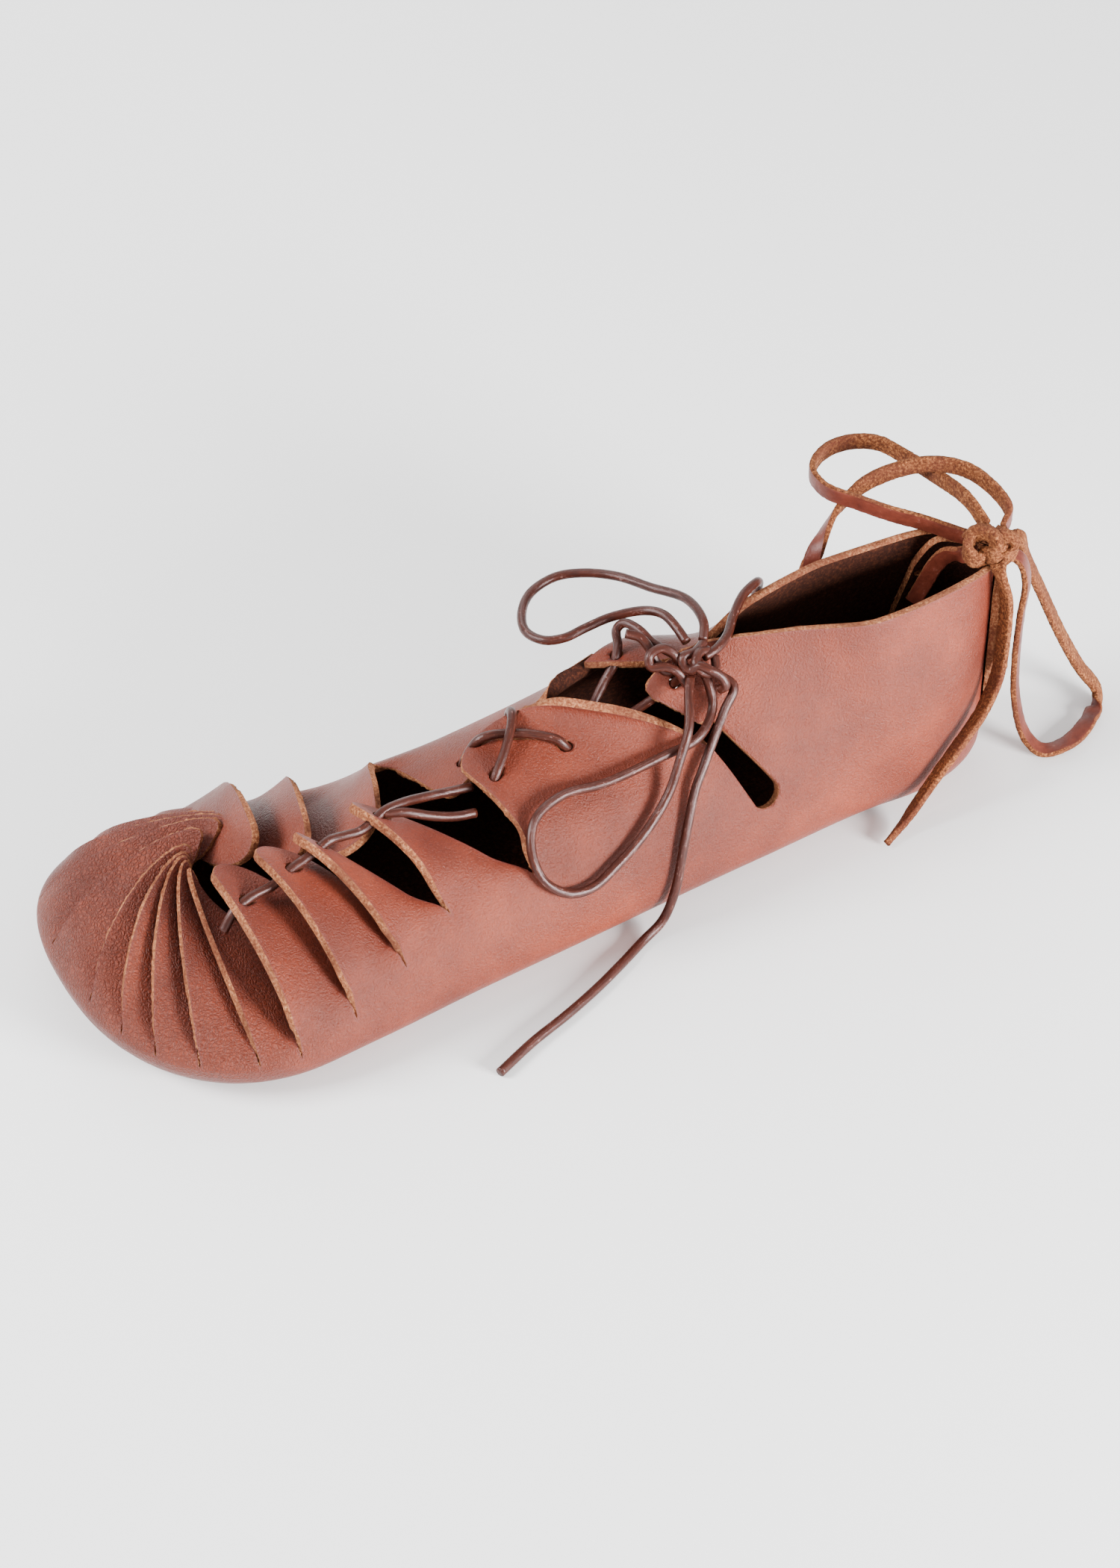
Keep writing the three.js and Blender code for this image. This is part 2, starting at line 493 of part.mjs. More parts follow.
// Routes, in millimetres, chosen along the cords that the photo shows. The toe lace runs through the
// tips of the strips; the instep lace ties the wide strips and the ankle flaps; the rest lies free.
const ROUTES = {
  toe_run: [
    [13.5, -102, 36], [12.4, -97.6, 41], [11.4, -92, 42.6], [10.4, -86, 42.8], [9.7, -80, 45.6], [9.2, -76, 46.8],
    [8.7, -72, 48], [8, -68, 49.4], [7, -63, 48.2], [6.3, -58, 47.2], [5.8, -54, 48.6], [5, -50, 50.2],
    [3.6, -44, 49.4], [1.6, -36, 46.6], [0.8, -28, 44.6], [1, -22, 43.9],
  ],
  toe_branch: [[5.3, -51, 49.8], [7, -45, 49], [8.6, -38, 46], [9, -31, 43.2], [9, -25, 42]],
  instep_low: [
    [-9.8, -20.6, 38], [-9.4, -18.6, 45], [-7.4, -14.6, 52], [-4.5, -7, 52.8], [0, -1, 53.2], [3.4, 3, 52.6],
    [4.6, 5.4, 49.6], [2.6, 9.4, 45.4], [-3.4, 15, 45.4], [-8.6, 20, 48], [-11.4, 25, 52.6], [-12.6, 29, 57.4],
    [-14.8, 31.4, 61.6], [-17.2, 32.2, 65], [-16.2, 34, 67.6], [-11.6, 36, 68], [-6, 37.6, 66.6],
  ],
  instep_high: [
    [5.4, -18.6, 44], [4.7, -16.6, 48.6], [2.4, -13.6, 51], [-1.6, -9.6, 53.6], [-5.4, -6.6, 55], [-9, -4.6, 55.4],
    [-12, -3.6, 53.6], [-13.6, -3.4, 49.6], [-13.6, -4, 43],
  ],
  instep_under: [
    [4.6, 41.2, 61.6], [2.6, 40, 58], [0, 37.6, 53.4], [-1.4, 31, 49], [-1, 22, 46.2], [1.4, 13, 45.4],
    [2.6, 9.4, 45.4],
  ],
  far_bow_loop: [
    [-2.6, 51.6, 70.8], [-14, 52.8, 70.4], [-27, 48, 67.4], [-37, 43, 66], [-44, 36, 64.8], [-47.6, 29, 63.4],
    [-46, 20.5, 62.2], [-40, 14.5, 61.6], [-31.5, 11.5, 61.8], [-25, 14, 62.6], [-22.4, 19, 63.6], [-22, 25, 65],
    [-21.4, 33, 66.4], [-17, 41, 68.8], [-12, 44, 70], [-7, 44.8, 69.6],
  ],
  near_bow_loop: [
    [9.4, 46.6, 60.2], [13.2, 46, 54.4], [18.6, 38.6, 50.6], [18.8, 28, 48.6], [19, 9.4, 46.4], [18.2, -3.2, 46.6],
    [21.8, -13.4, 44.8], [27, -17.2, 39.2], [32, -16, 31.8], [34.8, -10.2, 27], [34.8, -2.6, 25.8], [32.6, 6.4, 28.8],
    [29.9, 15.8, 33.6], [25.8, 25.4, 40.8], [22.8, 30.4, 48.4], [19, 35.2, 55.6], [11, 39.6, 60.4],
  ],
  near_lace_end: [
    [12.4, 53, 58.8], [15.6, 48.4, 54.2], [19.6, 43, 49.4], [23.8, 37, 42.8], [25.8, 34, 39.2], [31.6, 27.6, 26.4],
    [34.8, 23.2, 13], [35.6, 19, 4.4], [37.6, 12, 1.6], [43, 2, 1.6], [48, -8, 1.6], [53, -19.6, 1.6], [58, -33, 1.6],
    [64, -46, 1.6],
  ],
  far_lace_end: [
    [2, 57, 69.9], [-4.6, 61.8, 70], [-10.4, 68, 70.6], [-12.8, 74.6, 70.2], [-17, 77.6, 66], [-20.4, 78.6, 57],
    [-24.2, 79.6, 42], [-27.8, 80.6, 26], [-31, 81.6, 11], [-33.6, 83.4, 3.4], [-38, 86, 1.6], [-47, 90, 1.6],
  ],
  heel_bar: [[-9, 125, 46], [-7.6, 127.4, 53], [-5, 129, 61], [-1, 130.4, 67], [3, 133, 68.6]],
  heel_loop_a: [
    [-5, 134, 70.6], [-12, 129, 71], [-19, 122, 72], [-27, 115.6, 73], [-36, 110, 73.4], [-45, 111, 73.6],
    [-51.4, 119, 73.6], [-52, 127.6, 73.6], [-48, 134.6, 73.6], [-38, 138.4, 73.6], [-26, 140.6, 74.4],
    [-15, 141.4, 76], [-8, 141.5, 76],
  ],
  heel_end_c: [
    [0, 149, 76], [-8, 149, 78.4], [-19, 146, 79.4], [-27, 139, 78.4], [-32, 129.4, 75.6], [-34, 121, 72],
    [-32, 112, 68], [-27, 103.6, 63.4], [-24, 97.4, 55], [-25.4, 94, 40], [-28.8, 93, 20], [-33, 94, 6],
    [-38, 97, 1.9], [-45, 99, 1.9],
  ],
  heel_loop_b: [
    [4.4, 150.4, 69.4], [4, 153, 62], [4.6, 160, 46], [5.4, 167, 30], [6.4, 175, 14], [9, 181, 3.4], [17, 173, 1.9],
    [23, 161, 1.9], [22, 153, 1.9], [18, 149.6, 6], [14.6, 147, 20], [13, 147, 34], [12.4, 147.6, 48],
    [12, 148.6, 60], [10.4, 147.4, 66.4],
  ],
  heel_end_d: [
    [12.6, 138.6, 67], [15.4, 139.6, 60], [17.6, 138.6, 47], [20.4, 135.6, 36], [24, 129, 28.4], [27, 119, 20.4],
    [29, 109, 11], [31.6, 100, 3.6], [35.4, 92, 1.9],
  ],
};

// The two knots, as lumps. at: the middle; size: the three widths; tilt: degrees about Y; width and color
// of the cord that is tied; its loops, its loose ends and the bars that hold it.
const LEATHER_COLOR = 0x8a4a35;
const LACE_COLOR = 0x4a2c24;
const THONG_COLOR = 0x7d4433;
const KNOTS = {
  instep_knot: {
    at: [4, 46, 64.6], size: [9, 12, 6], tilt: 46, width: LACE, color: LACE_COLOR,
    loops: ["far_bow_loop", "near_bow_loop"], ends: ["near_lace_end", "far_lace_end"], bars: [],
  },
  heel_knot: {
    at: [5.4, 141.4, 70.9], size: [11, 9, 9], tilt: 0, width: THONG, color: THONG_COLOR,
    loops: ["heel_loop_a", "heel_loop_b"], ends: ["heel_end_c", "heel_end_d"], bars: ["heel_bar"],
  },
};
const KNOT_GAP = 0.4;

// The route with its end brought close to a knot, on the way from its last point to the knot's middle.
function meet(route, name) {
  const { at, size, tilt } = KNOTS[name];
  const middleOf = vec(...at);
  const way = vec(...route[route.length - 1]).sub(middleOf);
  const turned = way.clone().applyAxisAngle(vec(0, 1, 0), -tilt * DEGREE).divide(vec(...size)).multiplyScalar(2);
  const end = middleOf.addScaledVector(way, 1 / turned.length()).addScaledVector(way.normalize(), KNOT_GAP);
  return [...route, end.toArray()];
}
const fromKnot = (route, name) => meet([...route].reverse(), name).reverse();

const wasm = await Module();
wasm.setup();

// A closed body for the boolean library: points that coincide become one.
function solid(geometry) {
  const place = geometry.getAttribute("position");
  const index = geometry.index ? Array.from(geometry.index.array) : Array.from({ length: place.count }, (_, k) => k);
  const ids = new Map();
  const points = [];
  const remap = Array.from({ length: place.count }, (_, k) => {
    const p = [place.getX(k), place.getY(k), place.getZ(k)].map((x) => Math.round(x * 1e4) / 1e4);
    const key = p.join("/");
    if (!ids.has(key)) ids.set(key, points.push(p) - 1);
    return ids.get(key);
  });
  const triVerts = [];
  for (let k = 0; k < index.length; k += 3) {
    const t = [remap[index[k]], remap[index[k + 1]], remap[index[k + 2]]];
    if (t[0] !== t[1] && t[1] !== t[2] && t[2] !== t[0]) triVerts.push(...t);
  }
  return new wasm.Manifold(
    new wasm.Mesh({
      numProp: 3,
      vertProperties: new Float32Array(points.flat()),
      triVerts: new Uint32Array(triVerts),
    }),
  );
}
function surface(body) {
  const made = body.getMesh();
  const geometry = new THREE.BufferGeometry();
  geometry.setAttribute("position", new THREE.BufferAttribute(new Float32Array(made.vertProperties), 3));
  geometry.setIndex(Array.from(made.triVerts));
  return geometry;
}

// A round cord along its route. gap is added all round it, for the passage that it leaves in the leather.
function cord(route, width, gap = 0) {
  const path = new THREE.CatmullRomCurve3(route.map((p) => vec(...p)), false, "centripetal");
  const radius = width / 2 + gap;
  const outline = Array.from({ length: CORD_SIDES }, (_, k) => {
    const a = ((k + 0.5) * 2 * Math.PI) / CORD_SIDES;
    return new THREE.Vector2(radius * Math.cos(a), radius * Math.sin(a));
  });
  const steps = Math.ceil(path.getLength() / (CORD_STEP * width));
  return new THREE.ExtrudeGeometry(new THREE.Shape(outline), { steps, bevelEnabled: false, extrudePath: path });
}

function mesh(name, geometry, color, roughness) {
  const made = new THREE.Mesh(geometry, new THREE.MeshStandardMaterial({ color, roughness, metalness: 0 }));
  made.name = name;
  return made;
}

const instepLow = meet(ROUTES.instep_low, "instep_knot");
const PASSAGES = [ROUTES.toe_run, ROUTES.toe_branch, instepLow, ROUTES.instep_high, ROUTES.instep_under];
const upper = PASSAGES.reduce(
  (body, route) => body.subtract(solid(cord(route, LACE, HOLE_GAP))),
  solid(thicken(closeSole(grainSheet()))),
);
const joined = (...routes) => routes.map((route) => solid(cord(route, LACE))).reduce((a, b) => a.add(b));

const shoe = new THREE.Group();
shoe.add(mesh("upper_and_sole", surface(upper), LEATHER_COLOR, 0.55));
shoe.add(mesh("toe_lace", surface(joined(ROUTES.toe_run, ROUTES.toe_branch)), LACE_COLOR, 0.45));
shoe.add(mesh("instep_lace", surface(joined(instepLow, ROUTES.instep_high, ROUTES.instep_under)), LACE_COLOR, 0.45));

const addCord = (name, route, width, color) => shoe.add(mesh(name, cord(route, width), color, 0.5));
for (const [knot, { at, size, tilt, width, color, loops, ends, bars }] of Object.entries(KNOTS)) {
  const lump = mesh(knot, new THREE.SphereGeometry(0.5, 12, 8), color, 0.6);
  lump.scale.set(...size);
  lump.rotation.y = tilt * DEGREE;
  lump.position.set(...at);
  shoe.add(lump);
  for (const name of loops) addCord(name, fromKnot(meet(ROUTES[name], knot), knot), width, color);
  for (const name of ends) addCord(name, fromKnot(ROUTES[name], knot), width, color);
  for (const name of bars) addCord(name, meet(ROUTES[name], knot), width, color);
}

// The origin is under the middle of the leather's box.
const box = new THREE.Box3().setFromObject(shoe.children[0]);
for (const piece of shoe.children) {
  piece.position.x -= (box.min.x + box.max.x) / 2;
  piece.position.y -= (box.min.y + box.max.y) / 2;
}
export default shoe;
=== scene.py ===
# A one-piece medieval tie shoe, dressed over its solids: leather with cut edges and a flesh side, a
# round lace through its strips and flaps, and a flat thong at the heel. Millimetres inside, metres out.
import math

import bpy
import numpy as np
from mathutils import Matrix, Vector, geometry, kdtree, noise

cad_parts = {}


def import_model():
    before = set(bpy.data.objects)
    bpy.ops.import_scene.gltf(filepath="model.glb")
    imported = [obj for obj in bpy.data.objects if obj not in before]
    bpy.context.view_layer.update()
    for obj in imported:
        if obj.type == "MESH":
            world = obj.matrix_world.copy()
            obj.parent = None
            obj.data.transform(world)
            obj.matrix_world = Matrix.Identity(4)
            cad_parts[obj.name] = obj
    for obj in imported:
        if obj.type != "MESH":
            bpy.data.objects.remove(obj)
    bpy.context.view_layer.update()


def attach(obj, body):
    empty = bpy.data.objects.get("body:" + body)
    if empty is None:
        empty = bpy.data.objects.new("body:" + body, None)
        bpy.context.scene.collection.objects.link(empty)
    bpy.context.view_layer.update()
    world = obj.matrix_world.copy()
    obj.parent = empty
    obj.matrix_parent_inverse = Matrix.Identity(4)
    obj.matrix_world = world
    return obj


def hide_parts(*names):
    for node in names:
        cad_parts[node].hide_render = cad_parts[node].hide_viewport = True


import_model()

MM = 0.001

# Driving sizes, as in the source of the solids
LENGTH = 280
BALL_WIDTH = 103
INSTEP_HEIGHT = 55
COLLAR_HEIGHT = 68
WALL = 2.5
CLEAR = 0.35
EDGE_HEIGHT = 10.7
EDGE_TURN = 13.2
TOE_PART = 0.2
HEEL_PART = 0.14
SPINE_ENDS = (0.18, 0.78)
TOE_SPRING = 2.7
TOE_TURN = 13.7
TOE_ROUND = 2.45
HEEL_ROUND = 2.4
DOME_ROUND = 2.2
RING_RADIUS = 11.5
FIN_RISE = 3
LIP = 4
TOE_LIP = 1.6
FIN_THINNER = 0.4
FIN_WIDTH = 9
FIN_TILT = 66
FIN_PULL_TILT = 42
FIN_PULL_DROP = 3.5
WIDE_STRIP = 20
WING_OUTER = 30
WING_INNER = 17
WING_START = 32
SLIT_REACH = 14
HEEL_ROOT = 0.2
FLAP_ROOT = 0.49
STEP = WALL + CLEAR
WING_STEP = 1.1 * STEP
LACE = 2.7
HOLE_GAP = 0.45

# Sizes that the solids lack or have otherwise: the slits' gape, the drop-shaped holes, the thong's hole,
# the cut edges, the swell of the grain side and the cords' height over the ground
SLIT_GAPE = 0.6
DROP_WIDTH = 9
DROP_LENGTH = 24
FAR_DROP_LENGTH = 12
DROP_LEAN = 4
DROP_GAPE = 5
DROP_NARROWER = 0.12
DROP_FOOT = 0.15
HEEL_HOLE_WIDTH = 2.4
HEEL_HOLE = [(-12, 126.7, 55), (2, 126.7, 55.4)]
EDGE_BULGE = 0.35
EDGE_CRUMB = 0.4
SWELL = 0.5
SWELL_SPREAD = 24
WEAR_REACH = 20
FLOOR_GAP = 0.1

# The middle of the leather's box, which the solids have over their origin
MIDDLE = np.array([-6.81, 2.55, 0.0])

# at, half width, crown: shares of the length, of half the ball width and of the instep height
SECTIONS = np.array([
    (0.0, 0.49, 1.1), (0.14, 0.49, 1.1), (0.3, 0.56, 1.05), (0.45, 0.645, 1.01), (0.62, 0.76, 0.78),
    (0.75, 0.9, 0.8), (0.84, 1.0, 0.67), (0.92, 1.05, 0.55), (1.0, 1.08, 0.42),
])
# turn, along, outer, inner, up, fold, out
COLLAR = np.array([
    (0, -0.012, 0, 0, 0.97, 0, 0), (14, 0.002, 0.16, 0.16, 0.975, 0, 0), (30, 0.045, 0.27, 0.27, 1, 0, 0),
    (45, 0.15, 0.31, 0.31, 0.985, 0, 0), (54, 0.25, 0.15, 0.22, 1.0, 0.02, 0.05),
    (60, 0.34, -0.04, 0.13, 0.975, 0.085, 0.25), (64.5, 0.43, -0.11, 0.4, 0.86, 0, 0.2),
])
# turn and root of the slit at the leading edge; corners of the free end: share of the length, side, rise
STRIPS = [
    dict(
        turn=95, root=0.555, lead=(0.588, -0.1, 1.6), trail=(0.465, -0.08, 1.7), bulge=0.22, full=0.6, lip=0,
    ),
    dict(turn=106, root=0.567, lead=(0.71, -0.02, 2.0), trail=(0.662, 0.1, 0.4), bulge=0.05),
    dict(turn=115, root=0.445, lead=(0.773, 0.1, 2.2), trail=(0.742, 0.24, 0.6), bulge=0.05),
    dict(turn=123.5, root=0.31, lead=(0.813, 0.08, 2.5), trail=(0.757, 0.22, 0.1), bulge=0.05, lap=4),
    dict(turn=132.5, root=0.225, lead=(0.855, 0.09, 2.6), trail=(0.797, 0.2, -0.1), bulge=0.09, lap=4),
    dict(turn=139, root=0.225), dict(turn=149, root=0.23), dict(turn=157, root=0.24),
    dict(turn=164, root=0.27), dict(turn=172, root=0.3), dict(turn=183, root=0.3),
    dict(turn=196, root=0.26), dict(turn=207, root=0.25), dict(turn=215, root=0.24),
    dict(turn=227, root=0.24),
    dict(turn=237, root=0.3, lead=(0.8, 0.02, 0.9), trail=(0.83, -0.1, -0.9), bulge=0.03, lap=4, fin=9),
    dict(turn=245, root=0.42, lead=(0.755, 0.12, -0.2), trail=(0.79, 0.05, -1.6), bulge=0.03, lap=4, fin=9),
    dict(turn=255, root=0.58, lead=(0.685, 0.14, 0.2), trail=(0.742, 0.12, -1.6), bulge=0.03, fin=8),
    dict(turn=295.5, root=0.49, lead=(0.453, -0.42, 1.1), trail=(0.6, 0.0, -0.6), bulge=0, full=0.74),
]
# turn, reach, lag, turned, wide of the toe strips' bend
BENDS = np.array([
    (132, 0.3, 4, 44, 12), (139, 0.27, 56, 69, 12), (149, 0.35, 58, 66, 12), (157, 0.44, 48, 62, 12),
    (164, 0.54, 32, 58, 13), (172, 0.56, 30, 56, 14), (196, 0.48, 42, 56, 17), (228, 0.4, 32, 47, 19),
])
ROSETTE_AT = (0.82, -0.04, 0.67)
FLAP_TURN = COLLAR[-1, 0]
PANELS = len(STRIPS) + 2


def ease(x):
    x = np.clip(x, 0, 1)
    return x * x * (3 - 2 * x)


def mix(a, b, q):
    return a + (b - a) * q


def unit(v):
    return v / np.linalg.norm(v, axis=-1, keepdims=True)


def dot(a, b):
    return (a * b).sum(-1, keepdims=True)


def flat(v):
    return v * np.array([1.0, 1.0, 0.0])


def along(rows, column, at):
    """A value of a table's column at any place along it, on a smooth curve through the rows."""
    x, y = rows[:, 0], rows[:, column]
    slope = np.diff(y) / np.diff(x)
    s, t = slope[:-1], slope[1:]
    safe = np.where(s * t > 0, s + t, 1)
    inner = np.where(s * t > 0, 2 * s * t / safe, 0)
    tangent = np.concatenate([slope[:1], inner, slope[-1:]])
    at = np.asarray(at, float)
    i = np.clip(np.searchsorted(x, at, side="right") - 1, 0, len(x) - 2)
    span = x[i + 1] - x[i]
    q = np.clip((at - x[i]) / span, 0, 1)
    bend = q * (1 - q) * span * (tangent[i] * (1 - q) - tangent[i + 1] * q)
    return mix(y[i], y[i + 1], q * q * (3 - 2 * q)) + bend


def half_width(at):
    toe = np.clip((at - (1 - TOE_PART)) / TOE_PART, 0, 1) ** TOE_ROUND
    heel = np.clip((HEEL_PART - at) / HEEL_PART, 0, 1) ** HEEL_ROUND
    rounded = (1 - toe) ** (1 / TOE_ROUND) * (1 - heel) ** (1 / HEEL_ROUND)
    return BALL_WIDTH / 2 * along(SECTIONS, 1, np.clip(at, 0, 1)) * rounded


def middle(at):
    return -TOE_TURN * np.clip((at - 0.5) / 0.5, 0, 1) ** 2


def lengthwise(at):
    return LENGTH * (0.5 - at)


def spring(at):
    return TOE_SPRING * np.clip((at - (1 - TOE_PART)) / TOE_PART, 0, 1) ** 2


def point(x, y, z):
    return np.stack(np.broadcast_arrays(x, y, z), -1).astype(float)


def side_of(turn):
    return np.where(np.sin(np.radians(turn)) >= 0, 1, -1)


def dome(at, side, rise):
    """A point of the closed form over the foot."""
    height = INSTEP_HEIGHT * along(SECTIONS, 2, at) - EDGE_HEIGHT
    arch = (1 - np.abs(side) ** DOME_ROUND) ** (1 / DOME_ROUND)
    x = middle(at) + half_width(at) * side
    return point(x, lengthwise(at), EDGE_HEIGHT + height * arch + spring(at) + rise * STEP)


def edge(turn):
    """The widest line round the foot, from 0 degrees at the heel through 180 at the toe to 360."""
    at = (1 - np.cos(np.radians(turn))) / 2
    return point(middle(at) + side_of(turn) * half_width(at), lengthwise(at), EDGE_HEIGHT + spring(at))


def spine(turn):
    at = np.clip((1 - np.cos(np.radians(turn))) / 2, *SPINE_ENDS)
    return point(middle(at), lengthwise(at), 0)


def turn_up(turn, v):
    rim = edge(turn)
    out = unit(flat(rim) - spine(turn))
    angle = np.radians((v + 1) * 90)
    p = rim + out * (EDGE_TURN * (np.sin(angle) - 1))[..., None]
    p[..., 2] = rim[..., 2] - EDGE_HEIGHT * np.cos(angle)
    return p


def on_column(c, v):
    foot, rise, pull, top = c
    v = np.asarray(v, float)[..., None]
    w = 1 - v
    up = foot + np.asarray(rise, float)[..., None] * np.array([0, 0, 1.0])
    return foot * w**3 + up * 3 * w * w * v + pull * 3 * w * v * v + top * v**3


def quarter(turn):
    turn = np.asarray(turn, float)
    size, side = np.abs(turn), np.where(turn < 0, -1, 1)
    inner = side < 0
    half = np.where(inner, along(COLLAR, 3, size), along(COLLAR, 2, size))
    up = along(COLLAR, 4, size) - np.where(inner, along(COLLAR, 5, size), 0)
    out = np.where(inner, along(COLLAR, 6, size), 0)
    top = point(side * half * BALL_WIDTH / 2, lengthwise(along(COLLAR, 1, size)), COLLAR_HEIGHT * up)
    foot = edge(turn)
    lean = ease((size - 50) / (FLAP_TURN - 50))
    tall = top[..., 2] - foot[..., 2]
    pull = top + (flat(foot) - flat(top)) * (mix(0.35, 0.5, lean) + out)[..., None]
    pull[..., 2] -= (mix(0.36, 0.08, lean) - out / 2) * tall
    return foot, 0.42 * tall, pull, top


ROSETTE = point(
    middle(ROSETTE_AT[0]) + half_width(ROSETTE_AT[0]) * ROSETTE_AT[1],
    lengthwise(ROSETTE_AT[0]),
    INSTEP_HEIGHT * ROSETTE_AT[2],
)


def fin(turn, edge_side):
    """A toe strip's edge, bent over before the rosette, its leading edge raised."""
    foot = edge(turn)
    away = np.arctan2(foot[..., 1] - ROSETTE[1], foot[..., 0] - ROSETTE[0])

    def place(radius, lag, wide, tilt, up):
        a = away - np.radians(lag)
        t = math.radians(tilt)
        across = point(np.sin(a) * math.cos(t), -np.cos(a) * math.cos(t), math.sin(t))
        p = ROSETTE + point(np.cos(a), np.sin(a), 0) * np.asarray(radius, float)[..., None]
        p = p + across * (edge_side * np.asarray(wide, float) / 2)[..., None]
        p[..., 2] += up
        return p

    reach = BALL_WIDTH / 2 * along(BENDS, 1, turn)
    pull = place(reach, along(BENDS, 2, turn), along(BENDS, 4, turn), FIN_PULL_TILT, -FIN_PULL_DROP)
    top = place(RING_RADIUS, along(BENDS, 3, turn), FIN_WIDTH, FIN_TILT, 0)
    return foot, 0.4 * (pull[..., 2] - foot[..., 2]), pull, top


def leaf(strip, q, turn):
    at, side, rise = (mix(a, b, q) for a, b in zip(strip["trail"], strip["lead"]))
    side = side - side_of(turn) * strip["bulge"] * (1 - (2 * q - 1) ** 2)
    top = dome(at, side, rise)
    foot = edge(turn)
    full = strip.get("full", 0.5)
    pull = top + (flat(foot) - flat(top)) * full
    pull[..., 2] += strip.get("fin", FIN_RISE) * (2 * q - 1)
    pull = pull + unit(flat(edge(turn + 1) - edge(turn - 1))) * (strip.get("lap", 0) * (q - 1))[..., None]
    return foot, full * (top[..., 2] - foot[..., 2]), pull, top


def slit_turn(k):
    if k < 2:
        return [0, FLAP_TURN][k]
    return STRIPS[k - 2]["turn"]


def slit_root(k):
    if k < 2:
        return [HEEL_ROOT, FLAP_ROOT][k]
    return STRIPS[k - 2]["root"]


def panel_column(i, q):
    q = np.asarray(q, float)
    if i == 0:
        return quarter(FLAP_TURN * q)
    if i == PANELS - 1:
        return quarter(mix(slit_turn(i) - 360, 0, q))
    strip = STRIPS[i - 1]
    turn = mix(slit_turn(i), strip["turn"], q)
    if "lead" in strip:
        return leaf(strip, q, turn)
    edges = zip(fin(turn, -1), fin(turn, 1))
    return tuple(mix(a, b, q if a.ndim == q.ndim else q[..., None]) for a, b in edges)


def make_slit(k):
    left, right = panel_column((k - 1) % PANELS, 1.0), panel_column(k, 0.0)
    midway = (left[0], (left[1] + right[1]) / 2, (left[2] + right[2]) / 2, (left[3] + right[3]) / 2)
    turning = unit(flat(edge(slit_turn(k) + 1.0) - edge(slit_turn(k) - 1.0)))
    low, high = 0.0, 1.0
    for _ in range(30):
        v = (low + high) / 2
        if on_column(midway, v)[2] < INSTEP_HEIGHT * slit_root(k):
            low = v
        else:
            high = v
    return left, right, midway, turning, low


SLITS = [make_slit(k) for k in range(PANELS)]


def lip_of(k):
    """How far the leading edge at slit k stands up over the next panel: the strips lie like louvres."""
    if k < 2 or k == PANELS - 1:
        return 0
    strip = STRIPS[k - 2]
    return strip.get("lip", LIP if "lead" in strip else TOE_LIP)


def slit_shift(k, v, on_left):
    """How far an edge of slit k lies from its own panel's column."""
    left, right, midway, turning, root = SLITS[k]
    shift = on_column(midway, v) - on_column(left if on_left else right, v)
    past = (v - root) / (1 - root)
    across = on_column(left, v) - on_column(right, v)
    ahead = unit(on_column(midway, v + 0.01) - on_column(midway, v - 0.01))
    lateral = unit(turning - ahead * dot(ahead, turning))
    normal = np.cross(ahead, lateral)
    level, side, on = (dot(across, axis)[..., 0] for axis in (normal, lateral, ahead))
    up = level + lip_of(k)
    raised = ease((past - 0.03) * 4)
    apart = np.abs(up) * raised / STEP
    moved = np.where(side < 0, ease(past * 2.5), ease((apart - 0.95) / 1.1))
    if k in (1, PANELS - 1):
        gape = DROP_GAPE * ease(past * 12)
    else:
        gape = SLIT_GAPE * ease(past * 24) * (1 - moved)
    sign = 0.5 if on_left else -0.5
    above = shift + normal * (sign * up * raised)[..., None]
    above = above + lateral * (sign * (side * moved - gape))[..., None]
    above = above + ahead * (sign * on * moved)[..., None]
    return np.where((past > 0)[..., None], above, shift)


